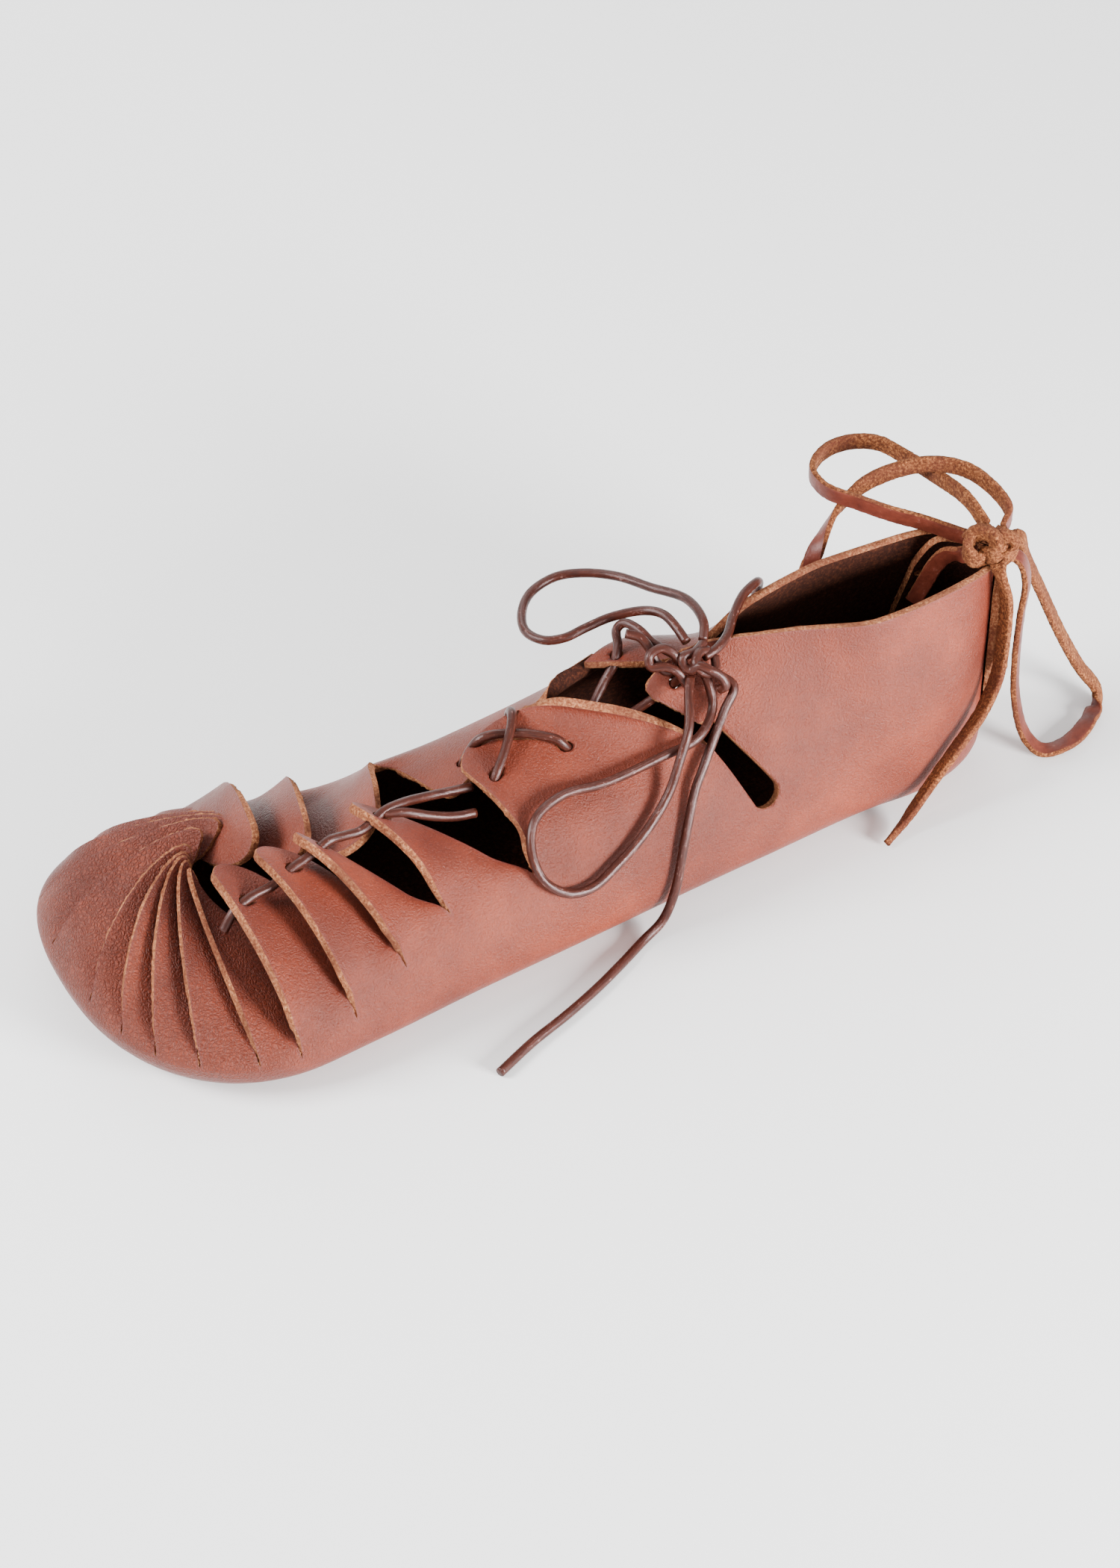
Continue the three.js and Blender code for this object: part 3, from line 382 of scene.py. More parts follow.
def leather(i, q, v):
    """Points of the grain side of panel i, rows by columns: q from its trailing to its leading edge, v
    from the ground at -1 to the free end at 1."""
    q, v = np.broadcast_arrays(np.asarray(q, float), np.asarray(v, float))
    trailing, leading = (np.broadcast_to(np.clip(v[:, k : k + 1 or None], 0, 1), v.shape) for k in (0, -1))
    is_quarter = i in (0, PANELS - 1)
    if i == 0:
        turn = FLAP_TURN * q
    elif is_quarter:
        turn = mix(slit_turn(i) - 360, 0, q)
    else:
        turn = mix(slit_turn(i), STRIPS[i - 1]["turn"], q)
    span = FLAP_TURN if is_quarter else STRIPS[i - 1]["turn"] - slit_turn(i)
    reach = min(1, SLIT_REACH / span)
    high = np.clip(v, 0, 1)
    if not is_quarter:
        p = on_column(panel_column(i, q), high)
        p = p + slit_shift(i, trailing, False) * (np.clip(1 - q / reach, 0, 1) ** 2)[..., None]
        last = (np.clip(1 - (1 - q) / reach, 0, 1) ** 2)[..., None]
        p = p + slit_shift((i + 1) % PANELS, leading, True) * last
    else:
        root = SLITS[0][4]
        past = (high - root) / (1 - root)
        near = ease(1 - np.abs(turn) / WING_START)
        placed = turn + (-WING_OUTER if i == 0 else WING_INNER) * near * ease((past - 0.04) * 8)
        column = quarter(placed)
        aside = on_column(quarter(placed + 1), high) - on_column(quarter(placed - 1), high)
        ahead = on_column(column, high + 0.01) - on_column(column, high - 0.01)
        out = unit(np.cross(ahead, aside))
        layer = ease((placed + WING_START) / (WING_START + 12)) - (1 if i == 0 else 0)
        p = on_column(column, high) + out * (layer * WING_STEP * ease(past * 14))[..., None]
        turning = unit(flat(edge(turn + 1) - edge(turn - 1)))
        parted = SLIT_GAPE * ease(past * 20) * (1 - ease((past - 0.04) * 14))
        near_slit = np.clip(1 - np.abs(turn) / 6, 0, 1) ** 2
        p = p + turning * ((0.5 if i == 0 else -0.5) * parted * near_slit)[..., None]
        other = slit_shift(1, leading, True) if i == 0 else slit_shift(PANELS - 1, trailing, False)
        off = 1 - q if i == 0 else q
        p = p + other * (np.clip(1 - off / reach, 0, 1) ** 2)[..., None]
    return np.where((v < 0)[..., None], turn_up(turn, np.minimum(v, 0)), p)


def reach_up(i, q):
    """How far up its column a panel reaches: its free end is rounded towards both edges."""
    if 0 < i < PANELS - 1:
        wide = STRIPS[i - 1]["turn"] - slit_turn(i) > WIDE_STRIP
        power = 5 if wide else 2.4
        return 1 - (0.12 if wide else 0.085) * (1 - (1 - np.abs(2 * q - 1) ** power) ** (1 / power))
    flap, wing = (q, 1 - q) if i == 0 else (1 - q, q)
    corner = 1 - np.sqrt(1 - np.clip((flap - 0.8) / 0.2, 0, 1) ** 2)
    return 1 - (0.2 if i == 0 else 0.05) * corner - 0.16 * np.clip((wing - 0.9) / 0.1, 0, 1) ** 3


def wall_at(i, v):
    pared = 0 < i < PANELS - 1 and "lead" not in STRIPS[i - 1]
    return WALL * (1 - FIN_THINNER * ease((v - 0.3) / 0.5)) if pared else np.full(np.shape(v), WALL)


# The leather as one closed mesh: the slot of its cut edges, the rings of points across them, how often the
# normals are smoothed, and the sides of a cord
EDGE_SLOT = 2
EDGE_RINGS = 4
SMOOTHINGS = 4
SIDES = 12


def lines_of(i):
    """Shares of a panel's width at which its columns stand, closer at the cut edges."""
    if i in (0, PANELS - 1):
        count = 84
    elif STRIPS[i - 1]["turn"] - slit_turn(i) > WIDE_STRIP:
        count = 50
    else:
        count = 20 if "lead" in STRIPS[i - 1] else 14
    q = np.linspace(0, 1, count + 1)
    return mix(q, (1 - np.cos(np.pi * q)) / 2, 0.6)


def grain_sheet():
    """The grain side: its points, their wall, its quads and the ring of points on the ground."""
    foot = np.linspace(-1, 0, 9)
    low = np.linspace(0, 1, 8)[1:-1]
    high = np.linspace(0, 1, 61)
    high = mix(high, (1 - np.cos(np.pi * high)) / 2, 0.55)
    points, walls, quads, ring, shared = [], [], [], [], {}
    joint = len(foot) + len(low)
    total = 0
    for i in range(PANELS):
        after = (i + 1) % PANELS
        q = lines_of(i)
        root = mix(SLITS[i][4], SLITS[after][4], q)
        end = reach_up(i, q)
        rows = [np.full(len(q), v) for v in foot] + [v * root for v in low]
        rows += [mix(root, end, h) for h in high]
        v = np.stack(rows)
        p = leather(i, np.broadcast_to(q, v.shape), v)
        wall = wall_at(i, v)
        ids = np.zeros(v.shape, int)
        for c in range(len(q)):
            for r in range(len(rows)):
                key = None
                if r <= joint and c in (0, len(q) - 1):
                    key = (i if c == 0 else after, r)
                if key in shared:
                    ids[r, c] = shared[key]
                    continue
                ids[r, c] = total
                if key:
                    shared[key] = total
                points.append(p[r, c])
                walls.append(WALL if key else wall[r, c])
                total += 1
        ring += list(ids[0, :-1])
        a, b, c, d = ids[:-1, :-1], ids[1:, :-1], ids[1:, 1:], ids[:-1, 1:]
        quads.append(np.stack([a, b, c, d], -1).reshape(-1, 4))
    return np.array(points), np.array(walls), np.concatenate(quads), ring


def close_sole(points, walls, quads, ring):
    """The same with the sole's middle closed, all of it as faces."""
    faces = [tuple(quad) for quad in quads]
    extra, outer = [], list(ring)
    total = len(points)
    for inward in (0.1, 0.22, 0.36, 0.5, 0.64):
        at = np.clip(0.5 - points[ring][:, 1] / LENGTH, *SPINE_ENDS)
        q = mix(points[ring], point(middle(at), lengthwise(at), 0), inward)
        q[:, 2] *= 1 - ease(inward / 0.5)
        inner = list(range(total, total + len(ring)))
        total += len(ring)
        extra.append(q)
        for k in range(len(ring)):
            n = (k + 1) % len(ring)
            faces.append((inner[k], outer[k], outer[n], inner[n]))
        outer = inner
    points = np.concatenate([points] + extra)
    count = len(points) - len(walls)
    walls = np.concatenate([walls, np.full(count, WALL)])
    fill = geometry.tessellate_polygon([[Vector((*points[k][:2], 0)) for k in outer]])
    for a, b, c in fill:
        p, q, r = (points[outer[k]][:2] for k in (a, b, c))
        clockwise = (q[0] - p[0]) * (r[1] - p[1]) - (q[1] - p[1]) * (r[0] - p[0]) < 0
        faces.append((outer[a], outer[b], outer[c]) if clockwise else (outer[a], outer[c], outer[b]))
    return points, walls, faces


def normals_of(points, faces):
    total = np.zeros_like(points)
    for size in (3, 4):
        rows = np.array([f for f in faces if len(f) == size])
        if not len(rows):
            continue
        p = points[rows]
        across = np.cross(p[:, 2] - p[:, 0], p[:, -1] - p[:, 1])
        for k in range(size):
            np.add.at(total, rows[:, k], across)
    total = unit(total)
    for _ in range(SMOOTHINGS):
        spread = total * 0.2
        for size in (3, 4):
            rows = np.array([f for f in faces if len(f) == size])
            mean = total[rows].mean(1)
            for k in range(size):
                np.add.at(spread, rows[:, k], mean)
        total = unit(spread)
    return total


def wear_and_shade_of(points, rim):
    """For each point its distance from the nearest cut edge, and how far the grain is creased there, which
    also sets how dark its painted valley shade is.
    """
    tree = kdtree.KDTree(len(rim))
    for k, p in enumerate(rim):
        tree.insert(p, k)
    tree.balance()
    off = np.array([min(tree.find(p)[2], WEAR_REACH) for p in points])
    toe = ease((-points[:, 1] - 70) / 50)
    far = ease((-points[:, 0] - 12) / 14) * ease((40 - points[:, 1]) / 30)
    return off, np.clip(0.3 + 0.6 * toe + 0.3 * far, 0, 1)


def leather_mesh():
    points, walls, faces = close_sole(*grain_sheet())
    normals = normals_of(points, faces)
    held = ease((points[:, 2] - 6) / 20)
    swell = np.array([noise.noise(Vector(p) / SWELL_SPREAD) for p in points])
    points = points + normals * (SWELL * swell * held)[:, None]
    normals = normals_of(points, faces)
    flesh = points - normals * walls[:, None]
    count = len(points)

    sides = {(f[k], f[(k + 1) % len(f)]) for f in faces for k in range(len(f))}
    rim = [side for side in sides if (side[1], side[0]) not in sides]
    onward, behind = dict(rim), {b: a for a, b in rim}
    order = sorted(onward)
    slot_of = {k: n for n, k in enumerate(order)}
    here = points[order]
    ahead = unit(points[[onward[k] for k in order]] - here)
    before = unit(here - points[[behind[k] for k in order]])
    out = np.cross((ahead + before) / 2, normals[order])

    rings = []
    for j in range(1, EDGE_RINGS + 1):
        t = j / (EDGE_RINGS + 1)
        p = mix(points[order], flesh[order], t)
        crumb = np.array([noise.noise(Vector(x) * 1.3) + 0.8 * noise.noise(Vector(x) * 3.1) for x in p])
        rings.append(p + out * (EDGE_BULGE * math.sin(math.pi * t) + EDGE_CRUMB * crumb)[:, None])
    vertices = np.concatenate([points, flesh] + rings)
    owner = np.concatenate([np.arange(count), np.arange(count)] + [np.array(order)] * EDGE_RINGS)

    def level(k, j):
        if j == 0:
            return k
        if j > EDGE_RINGS:
            return k + count
        return 2 * count + (j - 1) * len(order) + slot_of[k]

    made = [tuple(int(k) for k in f) for f in faces]
    slots = [0] * len(made)
    made += [tuple(int(k) + count for k in reversed(f)) for f in faces]
    slots += [1] * len(faces)
    for a, b in rim:
        for j in range(EDGE_RINGS + 1):
            made.append((level(a, j), level(a, j + 1), level(b, j + 1), level(b, j)))
            slots.append(EDGE_SLOT)
    off, crease = wear_and_shade_of(points, points[order])
    return vertices, made, slots, off[owner], crease[owner]


def world(p):
    """Millimetres as in the source's tables to metres in the frame."""
    return (np.asarray(p, float) - MIDDLE) * MM


def new_object(name, vertices, faces, materials, slots=None, layers=None):
    data = bpy.data.meshes.new(name)
    data.from_pydata(world(vertices).tolist(), [], faces)
    for material in materials:
        data.materials.append(material)
    if slots is not None:
        data.polygons.foreach_set("material_index", slots)
        mixed = np.zeros(len(data.edges), bool)
        seen = np.full(len(data.edges), -1)
        for polygon, kind in zip(data.polygons, slots):
            for k in polygon.loop_indices:
                e = data.loops[k].edge_index
                mixed[e] |= seen[e] >= 0 and seen[e] != kind
                seen[e] = kind
        data.edges.foreach_set("use_edge_sharp", mixed)
    corners = np.zeros(len(data.loops), int)
    data.loops.foreach_get("vertex_index", corners)
    for layer, (u, v) in (layers or {}).items():
        uv = data.uv_layers.new(name=layer)
        uv.data.foreach_set("uv", np.stack([u[corners], v[corners]], -1).ravel().astype(np.float32))
    data.polygons.foreach_set("use_smooth", [True] * len(data.polygons))
    made = bpy.data.objects.new(name, data)
    bpy.context.scene.collection.objects.link(made)
    return made


def spline(route, step):
    """Points a step apart on the same smooth curve as the source's, through the route's points."""
    p = np.asarray(route, float)
    p = np.concatenate([[2 * p[0] - p[1]], p, [2 * p[-1] - p[-2]]])
    d = np.sqrt(np.linalg.norm(np.diff(p, axis=0), axis=1))
    out = []
    for k in range(1, len(p) - 2):
        a, b, c = d[k - 1], d[k], d[k + 1]
        start = ((p[k] - p[k - 1]) / a - (p[k + 1] - p[k - 1]) / (a + b) + (p[k + 1] - p[k]) / b) * b
        end = ((p[k + 1] - p[k]) / b - (p[k + 2] - p[k]) / (b + c) + (p[k + 2] - p[k + 1]) / c) * b
        t = np.linspace(0, 1, 25)[:, None]
        h = (2 * t**3 - 3 * t**2 + 1, t**3 - 2 * t**2 + t, 3 * t**2 - 2 * t**3, t**3 - t**2)
        piece = h[0] * p[k] + h[1] * start + h[2] * p[k + 1] + h[3] * end
        out.append(piece if k == len(p) - 3 else piece[:-1])
    line = np.concatenate(out)
    far = np.concatenate([[0], np.cumsum(np.linalg.norm(np.diff(line, axis=0), axis=1))])
    at = np.linspace(0, far[-1], max(4, int(far[-1] / step)) + 1)
    return np.stack([np.interp(at, far, line[:, k]) for k in range(3)], -1), at


def sweep(route, outline, step=0.8, across=((0, 0, 1), (0, 0, 1)), rough=0.0, taper=0.0):
    """A cord along a route. outline: its section, wide along the first axis; across: where that axis
    heads at the route's start and end; rough: depth of the fuzz; taper: share of the end cut to a tip."""
    line, at = spline(route, step)
    tangent = unit(np.gradient(line, axis=0))
    q = (at / at[-1])[:, None]
    wide = mix(np.array(across[0], float), np.array(across[1], float), ease(q))
    wide = unit(wide - tangent * dot(wide, tangent))
    for k in range(1, len(wide)):
        if (wide[k] * wide[k - 1]).sum() < 0:
            wide[k] *= -1
    thick = np.cross(tangent, wide)
    n = len(outline)
    narrow = 1 - 0.75 * ease((at - at[-1] + taper) / max(taper, 1e-6)) if taper else np.ones(len(at))
    ring = line[:, None] + wide[:, None] * (outline[None, :, :1] * narrow[:, None, None])
    ring = ring + thick[:, None] * outline[None, :, 1:]
    if rough:
        away = unit(ring - line[:, None])
        fuzz = [noise.noise(Vector(p) * 1.7) + 0.7 * noise.noise(Vector(p) * 4.1) for r in ring for p in r]
        size = np.array(fuzz).reshape(ring.shape[:2])
        ring = ring + away * (size * rough)[..., None]
    points = np.concatenate([ring.reshape(-1, 3), line[:1], line[-1:]])
    points[:, 2] = np.maximum(points[:, 2], FLOOR_GAP)
    faces = []
    for k in range(len(line) - 1):
        for m in range(n):
            o = (m + 1) % n
            faces.append((k * n + m, k * n + o, (k + 1) * n + o, (k + 1) * n + m))
    first, last = len(points) - 2, len(points) - 1
    base = (len(line) - 1) * n
    for m in range(n):
        o = (m + 1) % n
        faces.append((first, o, m))
        faces.append((last, base + m, base + o))
    u = np.concatenate([np.tile(np.arange(n) / n, len(line)), [0, 0]])
    v = np.concatenate([np.repeat(at, n), [0, at[-1]]])
    return points, faces, (u, v), line


def join(parts):
    """Several sweeps as one list of points, faces and texture places."""
    points, faces, u, v, total = [], [], [], [], 0
    for part in parts:
        points.append(part[0])
        faces += [tuple(k + total for k in f) for f in part[1]]
        u.append(part[2][0])
        v.append(part[2][1])
        total += len(part[0])
    return np.concatenate(points), faces, (np.concatenate(u), np.concatenate(v))


ANGLES = np.arange(SIDES) * 2 * np.pi / SIDES
ROUND = np.stack([np.cos(ANGLES), np.sin(ANGLES)], -1)


def strap(width, thick):
    """A flat section with rounded corners."""
    c, s = np.cos(ANGLES + 0.26), np.sin(ANGLES + 0.26)
    wide = width / 2 * np.sign(c) * np.abs(c) ** 0.35
    return np.stack([wide, thick / 2 * np.sign(s) * np.abs(s) ** 0.45], -1)


# Routes of the laces and the thong in millimetres, chosen along the cords in the photo and guessed where
# they pass out of sight
ROUTES = dict(
    toe_run=[
        (13.5, -102, 36), (12.4, -97.6, 41), (11.4, -92, 42.6), (10.4, -86, 42.8), (9.7, -80, 45.6),
        (9.2, -76, 46.8), (8.7, -72, 48), (8, -68, 49.4), (7, -63, 48.2), (6.3, -58, 47.2),
        (5.8, -54, 48.6), (5, -50, 50.2), (3.6, -44, 49.4), (1.6, -36, 46.6), (0.8, -28, 44.6),
        (1, -22, 43.9),
    ],
    toe_branch=[(5.3, -51, 49.8), (7, -45, 49), (8.6, -38, 46), (9, -31, 43.2), (9, -25, 42)],
    instep_low=[
        (-9.8, -20.6, 38), (-9.4, -18.6, 45), (-7.4, -14.6, 52), (-4.5, -7, 52.8), (0, -1, 53.2),
        (3.4, 3, 52.6), (4.6, 5.4, 49.6), (2.6, 9.4, 45.4), (-3.4, 15, 45.4), (-8.6, 20, 48),
        (-11.4, 25, 52.6), (-12.6, 29, 57.4), (-14.8, 31.4, 61.6), (-17.2, 32.2, 65), (-16.2, 34, 67.6),
        (-11.6, 36, 68), (-6, 37.6, 66.6), (0, 41, 65.6),
    ],
    instep_high=[
        (5.4, -18.6, 44), (4.7, -16.6, 48.6), (2.4, -13.6, 51), (-1.6, -9.6, 53.6), (-5.4, -6.6, 55),
        (-9, -4.6, 55.4), (-12, -3.6, 53.6), (-13.6, -3.4, 49.6), (-13.6, -4, 43),
    ],
    instep_under=[
        (4.6, 41.2, 61.6), (2.6, 40, 58), (0, 37.6, 53.4), (-1.4, 31, 49), (-1, 22, 46.2), (1.4, 13, 45.4),
        (2.6, 9.4, 45.4),
    ],
    far_bow_loop=[
        (1, 49.4, 68.2), (-2.6, 51.6, 70.8), (-14, 52.8, 70.4), (-27, 48, 67.4), (-37, 43, 66),
        (-44, 36, 64.8), (-47.6, 29, 63.4), (-46, 20.5, 62.2), (-40, 14.5, 61.6), (-31.5, 11.5, 61.8),
        (-25, 14, 62.6), (-22.4, 19, 63.6), (-22, 25, 65), (-21.4, 33, 66.4), (-17, 41, 68.8),
        (-12, 44, 70), (-7, 44.8, 69.6), (-1, 45.4, 67.6),
    ],
    near_bow_loop=[
        (6.6, 46.4, 62.6), (9.4, 46.6, 60.2), (13.2, 46, 54.4), (18.6, 38.6, 50.6), (18.8, 28, 48.6),
        (19, 9.4, 46.4), (18.2, -3.2, 46.6), (21.8, -13.4, 44.8), (27, -17.2, 39.2), (32, -16, 31.8),
        (34.8, -10.2, 27), (34.8, -2.6, 25.8), (32.6, 6.4, 28.8), (29.9, 15.8, 33.6), (25.8, 25.4, 40.8),
        (22.8, 30.4, 48.4), (19, 35.2, 55.6), (11, 39.6, 60.4), (7.4, 42, 62.4),
    ],
    near_lace_end=[
        (8.6, 50, 61.4), (12.4, 53, 58.8), (15.6, 48.4, 54.2), (19.6, 43, 49.4), (23.8, 37, 42.8),
        (25.8, 34, 39.2), (31.6, 27.6, 26.4), (34.8, 23.2, 13), (35.6, 19, 4.4), (37.6, 12, 1.6),
        (43, 2, 1.6), (48, -8, 1.6), (53, -19.6, 1.6), (58, -33, 1.6), (64, -46, 1.6),
    ],
    far_lace_end=[
        (5, 47.6, 65.8), (4, 52, 66.2), (1, 57, 66.8), (-5, 62.4, 67.5), (-10.4, 68.6, 68.7),
        (-13.4, 74.2, 68.7), (-17, 77.6, 65), (-20.4, 78.6, 57), (-24.2, 79.6, 42), (-27.8, 80.6, 26),
        (-31, 81.6, 11), (-33.6, 83.4, 3.4), (-38, 86, 1.6), (-47, 90, 1.6),
    ],
    heel_bar=[
        (-9, 125, 46), (-7.6, 127.4, 53), (-5, 129, 61), (-1, 130.4, 67), (3, 133, 68.6), (5, 136, 69.4),
    ],
    heel_loop_a=[
        (1, 138, 70.6), (-5, 134, 70.6), (-12, 129, 71), (-19, 122, 72), (-27, 115.6, 73), (-36, 110, 73.4),
        (-45, 111, 73.6), (-51.4, 119, 73.6), (-52, 127.6, 73.6), (-48, 134.6, 73.6), (-38, 138.4, 73.6),
        (-26, 140.6, 74.4), (-15, 141.4, 76), (-8, 141.5, 76), (0, 141.5, 73.8),
    ],
    heel_end_c=[
        (3, 145.4, 73.8), (0, 149, 76), (-8, 149, 78.4), (-19, 146, 79.4), (-27, 139, 78.4),
        (-32, 129.4, 75.6), (-34, 121, 72), (-32, 112, 68), (-27, 103.6, 63.4), (-24, 97.4, 55),
        (-25.4, 94, 40), (-28.8, 93, 20), (-33, 94, 6), (-38, 97, 1.9), (-45, 99, 1.9),
    ],
    heel_loop_b=[
        (5, 145.6, 70.4), (4.4, 150.4, 69.4), (4, 153, 62), (4.6, 160, 46), (5.4, 167, 30), (6.4, 175, 14),
        (9, 181, 3.4), (17, 173, 1.9), (23, 161, 1.9), (22, 153, 1.9), (18, 149.6, 6), (14.6, 147, 20),
        (13, 147, 34), (12.4, 147.6, 48), (12, 148.6, 60), (10.4, 147.4, 66.4), (8.6, 144.6, 69),
    ],
    heel_end_d=[
        (9, 140, 69), (12.6, 138.6, 67), (15.4, 139.6, 60), (17.6, 138.6, 47), (20.4, 135.6, 36),
        (24, 129, 28.4), (27, 119, 20.4), (29, 109, 11), (31.6, 100, 3.6), (35.4, 92, 1.9),
    ],
)


# Materials. Uniform numbers and colours stand on the shader's own sockets.
def add(tree, kind, settings=None, **inputs):
    node = tree.nodes.new(kind)
    for key, value in (settings or {}).items():
        setattr(node, key, value)
    for key, value in inputs.items():
        socket = node.inputs[int(key[1:]) if key[0] == "_" else key.replace("_", " ")]
        if isinstance(value, bpy.types.NodeSocket):
            tree.links.new(value, socket)
        else:
            socket.default_value = value
    return node


def new_material(name, color, roughness):
    material = bpy.data.materials.new(name)
    material.use_nodes = True
    material.diffuse_color = (*color, 1)
    tree = material.node_tree
    shader = next(n for n in tree.nodes if n.type == "BSDF_PRINCIPLED")
    shader.inputs["Roughness"].default_value = roughness
    return material, tree, shader


def srgb(r, g, b):
    c = np.array([r, g, b]) / 255
    return tuple(float(x) for x in np.where(c < 0.04045, c / 12.92, ((c + 0.055) / 1.055) ** 2.4))


def ramp(tree, fac, stops):
    node = add(tree, "ShaderNodeValToRGB", Fac=fac)
    elements = node.color_ramp.elements
    for k, (place, color) in enumerate(stops):
        element = elements[k] if k < 2 else elements.new(place)
        element.position = place
        element.color = (*color, 1)
    return node.outputs[0]


def grey(value):
    return (value, value, value)


def spots(tree, where, scale, detail=3.0, rough=0.6):
    node = add(tree, "ShaderNodeTexNoise", Vector=where, Scale=scale, Detail=detail, Roughness=rough)
    return node.outputs[0]


def combine(tree, a, b, operation="MULTIPLY"):
    return add(tree, "ShaderNodeMath", dict(operation=operation), _0=a, _1=b).outputs[0]


def blend_color(tree, fac, a, b, mode="MIX"):
    node = tree.nodes.new("ShaderNodeMix")
    node.data_type = "RGBA"
    node.blend_type = mode
    for index, value in ((0, fac), (6, a), (7, b)):
        if isinstance(value, bpy.types.NodeSocket):
            tree.links.new(value, node.inputs[index])
        else:
            node.inputs[index].default_value = (*value, 1) if index else value
    return node.outputs[2]


def bump(tree, height, strength, distance, normal=None):
    inputs = dict(Height=height, Strength=strength, Distance=distance)
    if normal is not None:
        inputs["Normal"] = normal
    return add(tree, "ShaderNodeBump", **inputs).outputs[0]


def grain_material():
    """Smooth chestnut leather: pebbled and creased where the wear layer says so, with painted shade
    in the pebble valleys, a little darker along cut edges."""
    material, tree, shader = new_material("grain", srgb(132, 66, 48), 0.42)
    where = add(tree, "ShaderNodeTexCoord").outputs["Object"]
    wear_and_shade = add(tree, "ShaderNodeUVMap", dict(uv_map="wear_and_shade")).outputs[0]
    parts = add(tree, "ShaderNodeSeparateXYZ", Vector=wear_and_shade)
    off, crease = parts.outputs[0], parts.outputs[1]

    warp = add(tree, "ShaderNodeTexNoise", Vector=where, Scale=260.0, Detail=2.0).outputs[1]
    shift = (0.0032, 0.0032, 0.0032)
    bent = add(tree, "ShaderNodeVectorMath", dict(operation="MULTIPLY_ADD"), _0=warp, _1=shift, _2=where)
    bent = bent.outputs[0]
    voronoi = add(tree, "ShaderNodeTexVoronoi", dict(feature="DISTANCE_TO_EDGE"), Vector=bent, Scale=980.0)
    cells = voronoi.outputs["Distance"]
    pebble = ramp(tree, cells, [(0.0, grey(0)), (0.22, grey(1))])
    fine = spots(tree, where, 1500.0, 4.0, 0.65)
    soft = spots(tree, where, 150.0, 4.0, 0.6)

    tone = spots(tree, where, 38.0, 4.0, 0.55)
    color = ramp(tree, tone, [(0.3, srgb(88, 32, 19)), (0.52, srgb(110, 44, 27)), (0.74, srgb(132, 57, 36))])
    speck = ramp(tree, fine, [(0.38, grey(0.84)), (0.62, grey(1.06))])
    color = blend_color(tree, 1.0, color, speck, "MULTIPLY")
    # painted shade: the pebble valleys are darkened towards a deep brown, more where the grain is creased
    painted_valley_shade = combine(tree, combine(tree, 1.0, pebble, "SUBTRACT"), crease)
    color = blend_color(tree, combine(tree, painted_valley_shade, 0.6), color, srgb(76, 31, 22))
    burnt = ramp(tree, off, [(0.0, grey(0.75)), (0.9, grey(0.0))])
    color = blend_color(tree, burnt, color, srgb(98, 48, 42))
    tree.links.new(color, shader.inputs["Base Color"])

    gloss = ramp(tree, soft, [(0.3, grey(0.31)), (0.7, grey(0.44))])
    tree.links.new(gloss, shader.inputs["Roughness"])
    shader.inputs["Specular IOR Level"].default_value = 0.35
    shader.inputs["Specular Tint"].default_value = (1.0, 0.8, 0.74, 1)
    shader.inputs["Sheen Weight"].default_value = 0.05
    shader.inputs["Sheen Roughness"].default_value = 0.4
    shader.inputs["Sheen Tint"].default_value = (*srgb(255, 200, 200), 1)

    normal = bump(tree, soft, 0.22, 0.0006)
    normal = bump(tree, pebble, combine(tree, crease, 0.75), 0.00035, normal)
    normal = bump(tree, fine, 0.8, 0.0005, normal)
    tree.links.new(normal, shader.inputs["Normal"])
    return material


def flesh_material():
    """The suede of the inside, with short dark fibres, its brown darker than the suede's own as painted
    shade of the shoe's inside.
    """
    material, tree, shader = new_material("flesh", srgb(70, 36, 26), 0.95)
    where = add(tree, "ShaderNodeTexCoord").outputs["Object"]
    fibre = spots(tree, where, 900.0, 6.0, 0.75)
    cloud = spots(tree, where, 60.0, 3.0, 0.6)
    # dark suede browns, darkened further as painted shade inside the shoe
    stops = [(0.3, srgb(22, 9, 7)), (0.5, srgb(42, 19, 13)), (0.75, srgb(84, 44, 27))]
    color = ramp(tree, fibre, stops)
    shade = ramp(tree, cloud, [(0.35, grey(0.78)), (0.65, grey(1.1))])
    tree.links.new(blend_color(tree, 1.0, color, shade, "MULTIPLY"), shader.inputs["Base Color"])
    shader.inputs["Sheen Weight"].default_value = 0.12
    shader.inputs["Sheen Tint"].default_value = (*srgb(170, 100, 70), 1)
    shader.inputs["Specular IOR Level"].default_value = 0.12
    tree.links.new(bump(tree, fibre, 0.8, 0.0005), shader.inputs["Normal"])
    return material


def edge_material(name="edge", low=(86, 42, 27), mid=(142, 84, 56), high=(202, 144, 102)):
    """A cut edge or suede: pale fibres with darker brown stretches."""
    material, tree, shader = new_material(name, srgb(*mid), 0.9)
    where = add(tree, "ShaderNodeTexCoord").outputs["Object"]
    fibre = spots(tree, where, 1300.0, 5.0, 0.7)
    stretch = spots(tree, where, 70.0, 2.0, 0.5)
    color = ramp(tree, fibre, [(0.32, srgb(*low)), (0.5, srgb(*mid)), (0.7, srgb(*high))])
    dark = ramp(tree, stretch, [(0.45, grey(0.0)), (0.62, grey(0.6))])
    tree.links.new(blend_color(tree, dark, color, srgb(84, 40, 30)), shader.inputs["Base Color"])
    shader.inputs["Sheen Weight"].default_value = 0.15
    shader.inputs["Sheen Tint"].default_value = (*srgb(220, 160, 110), 1)
    shader.inputs["Specular IOR Level"].default_value = 0.15
    tree.links.new(bump(tree, fibre, 0.9, 0.0006), shader.inputs["Normal"])
    return material


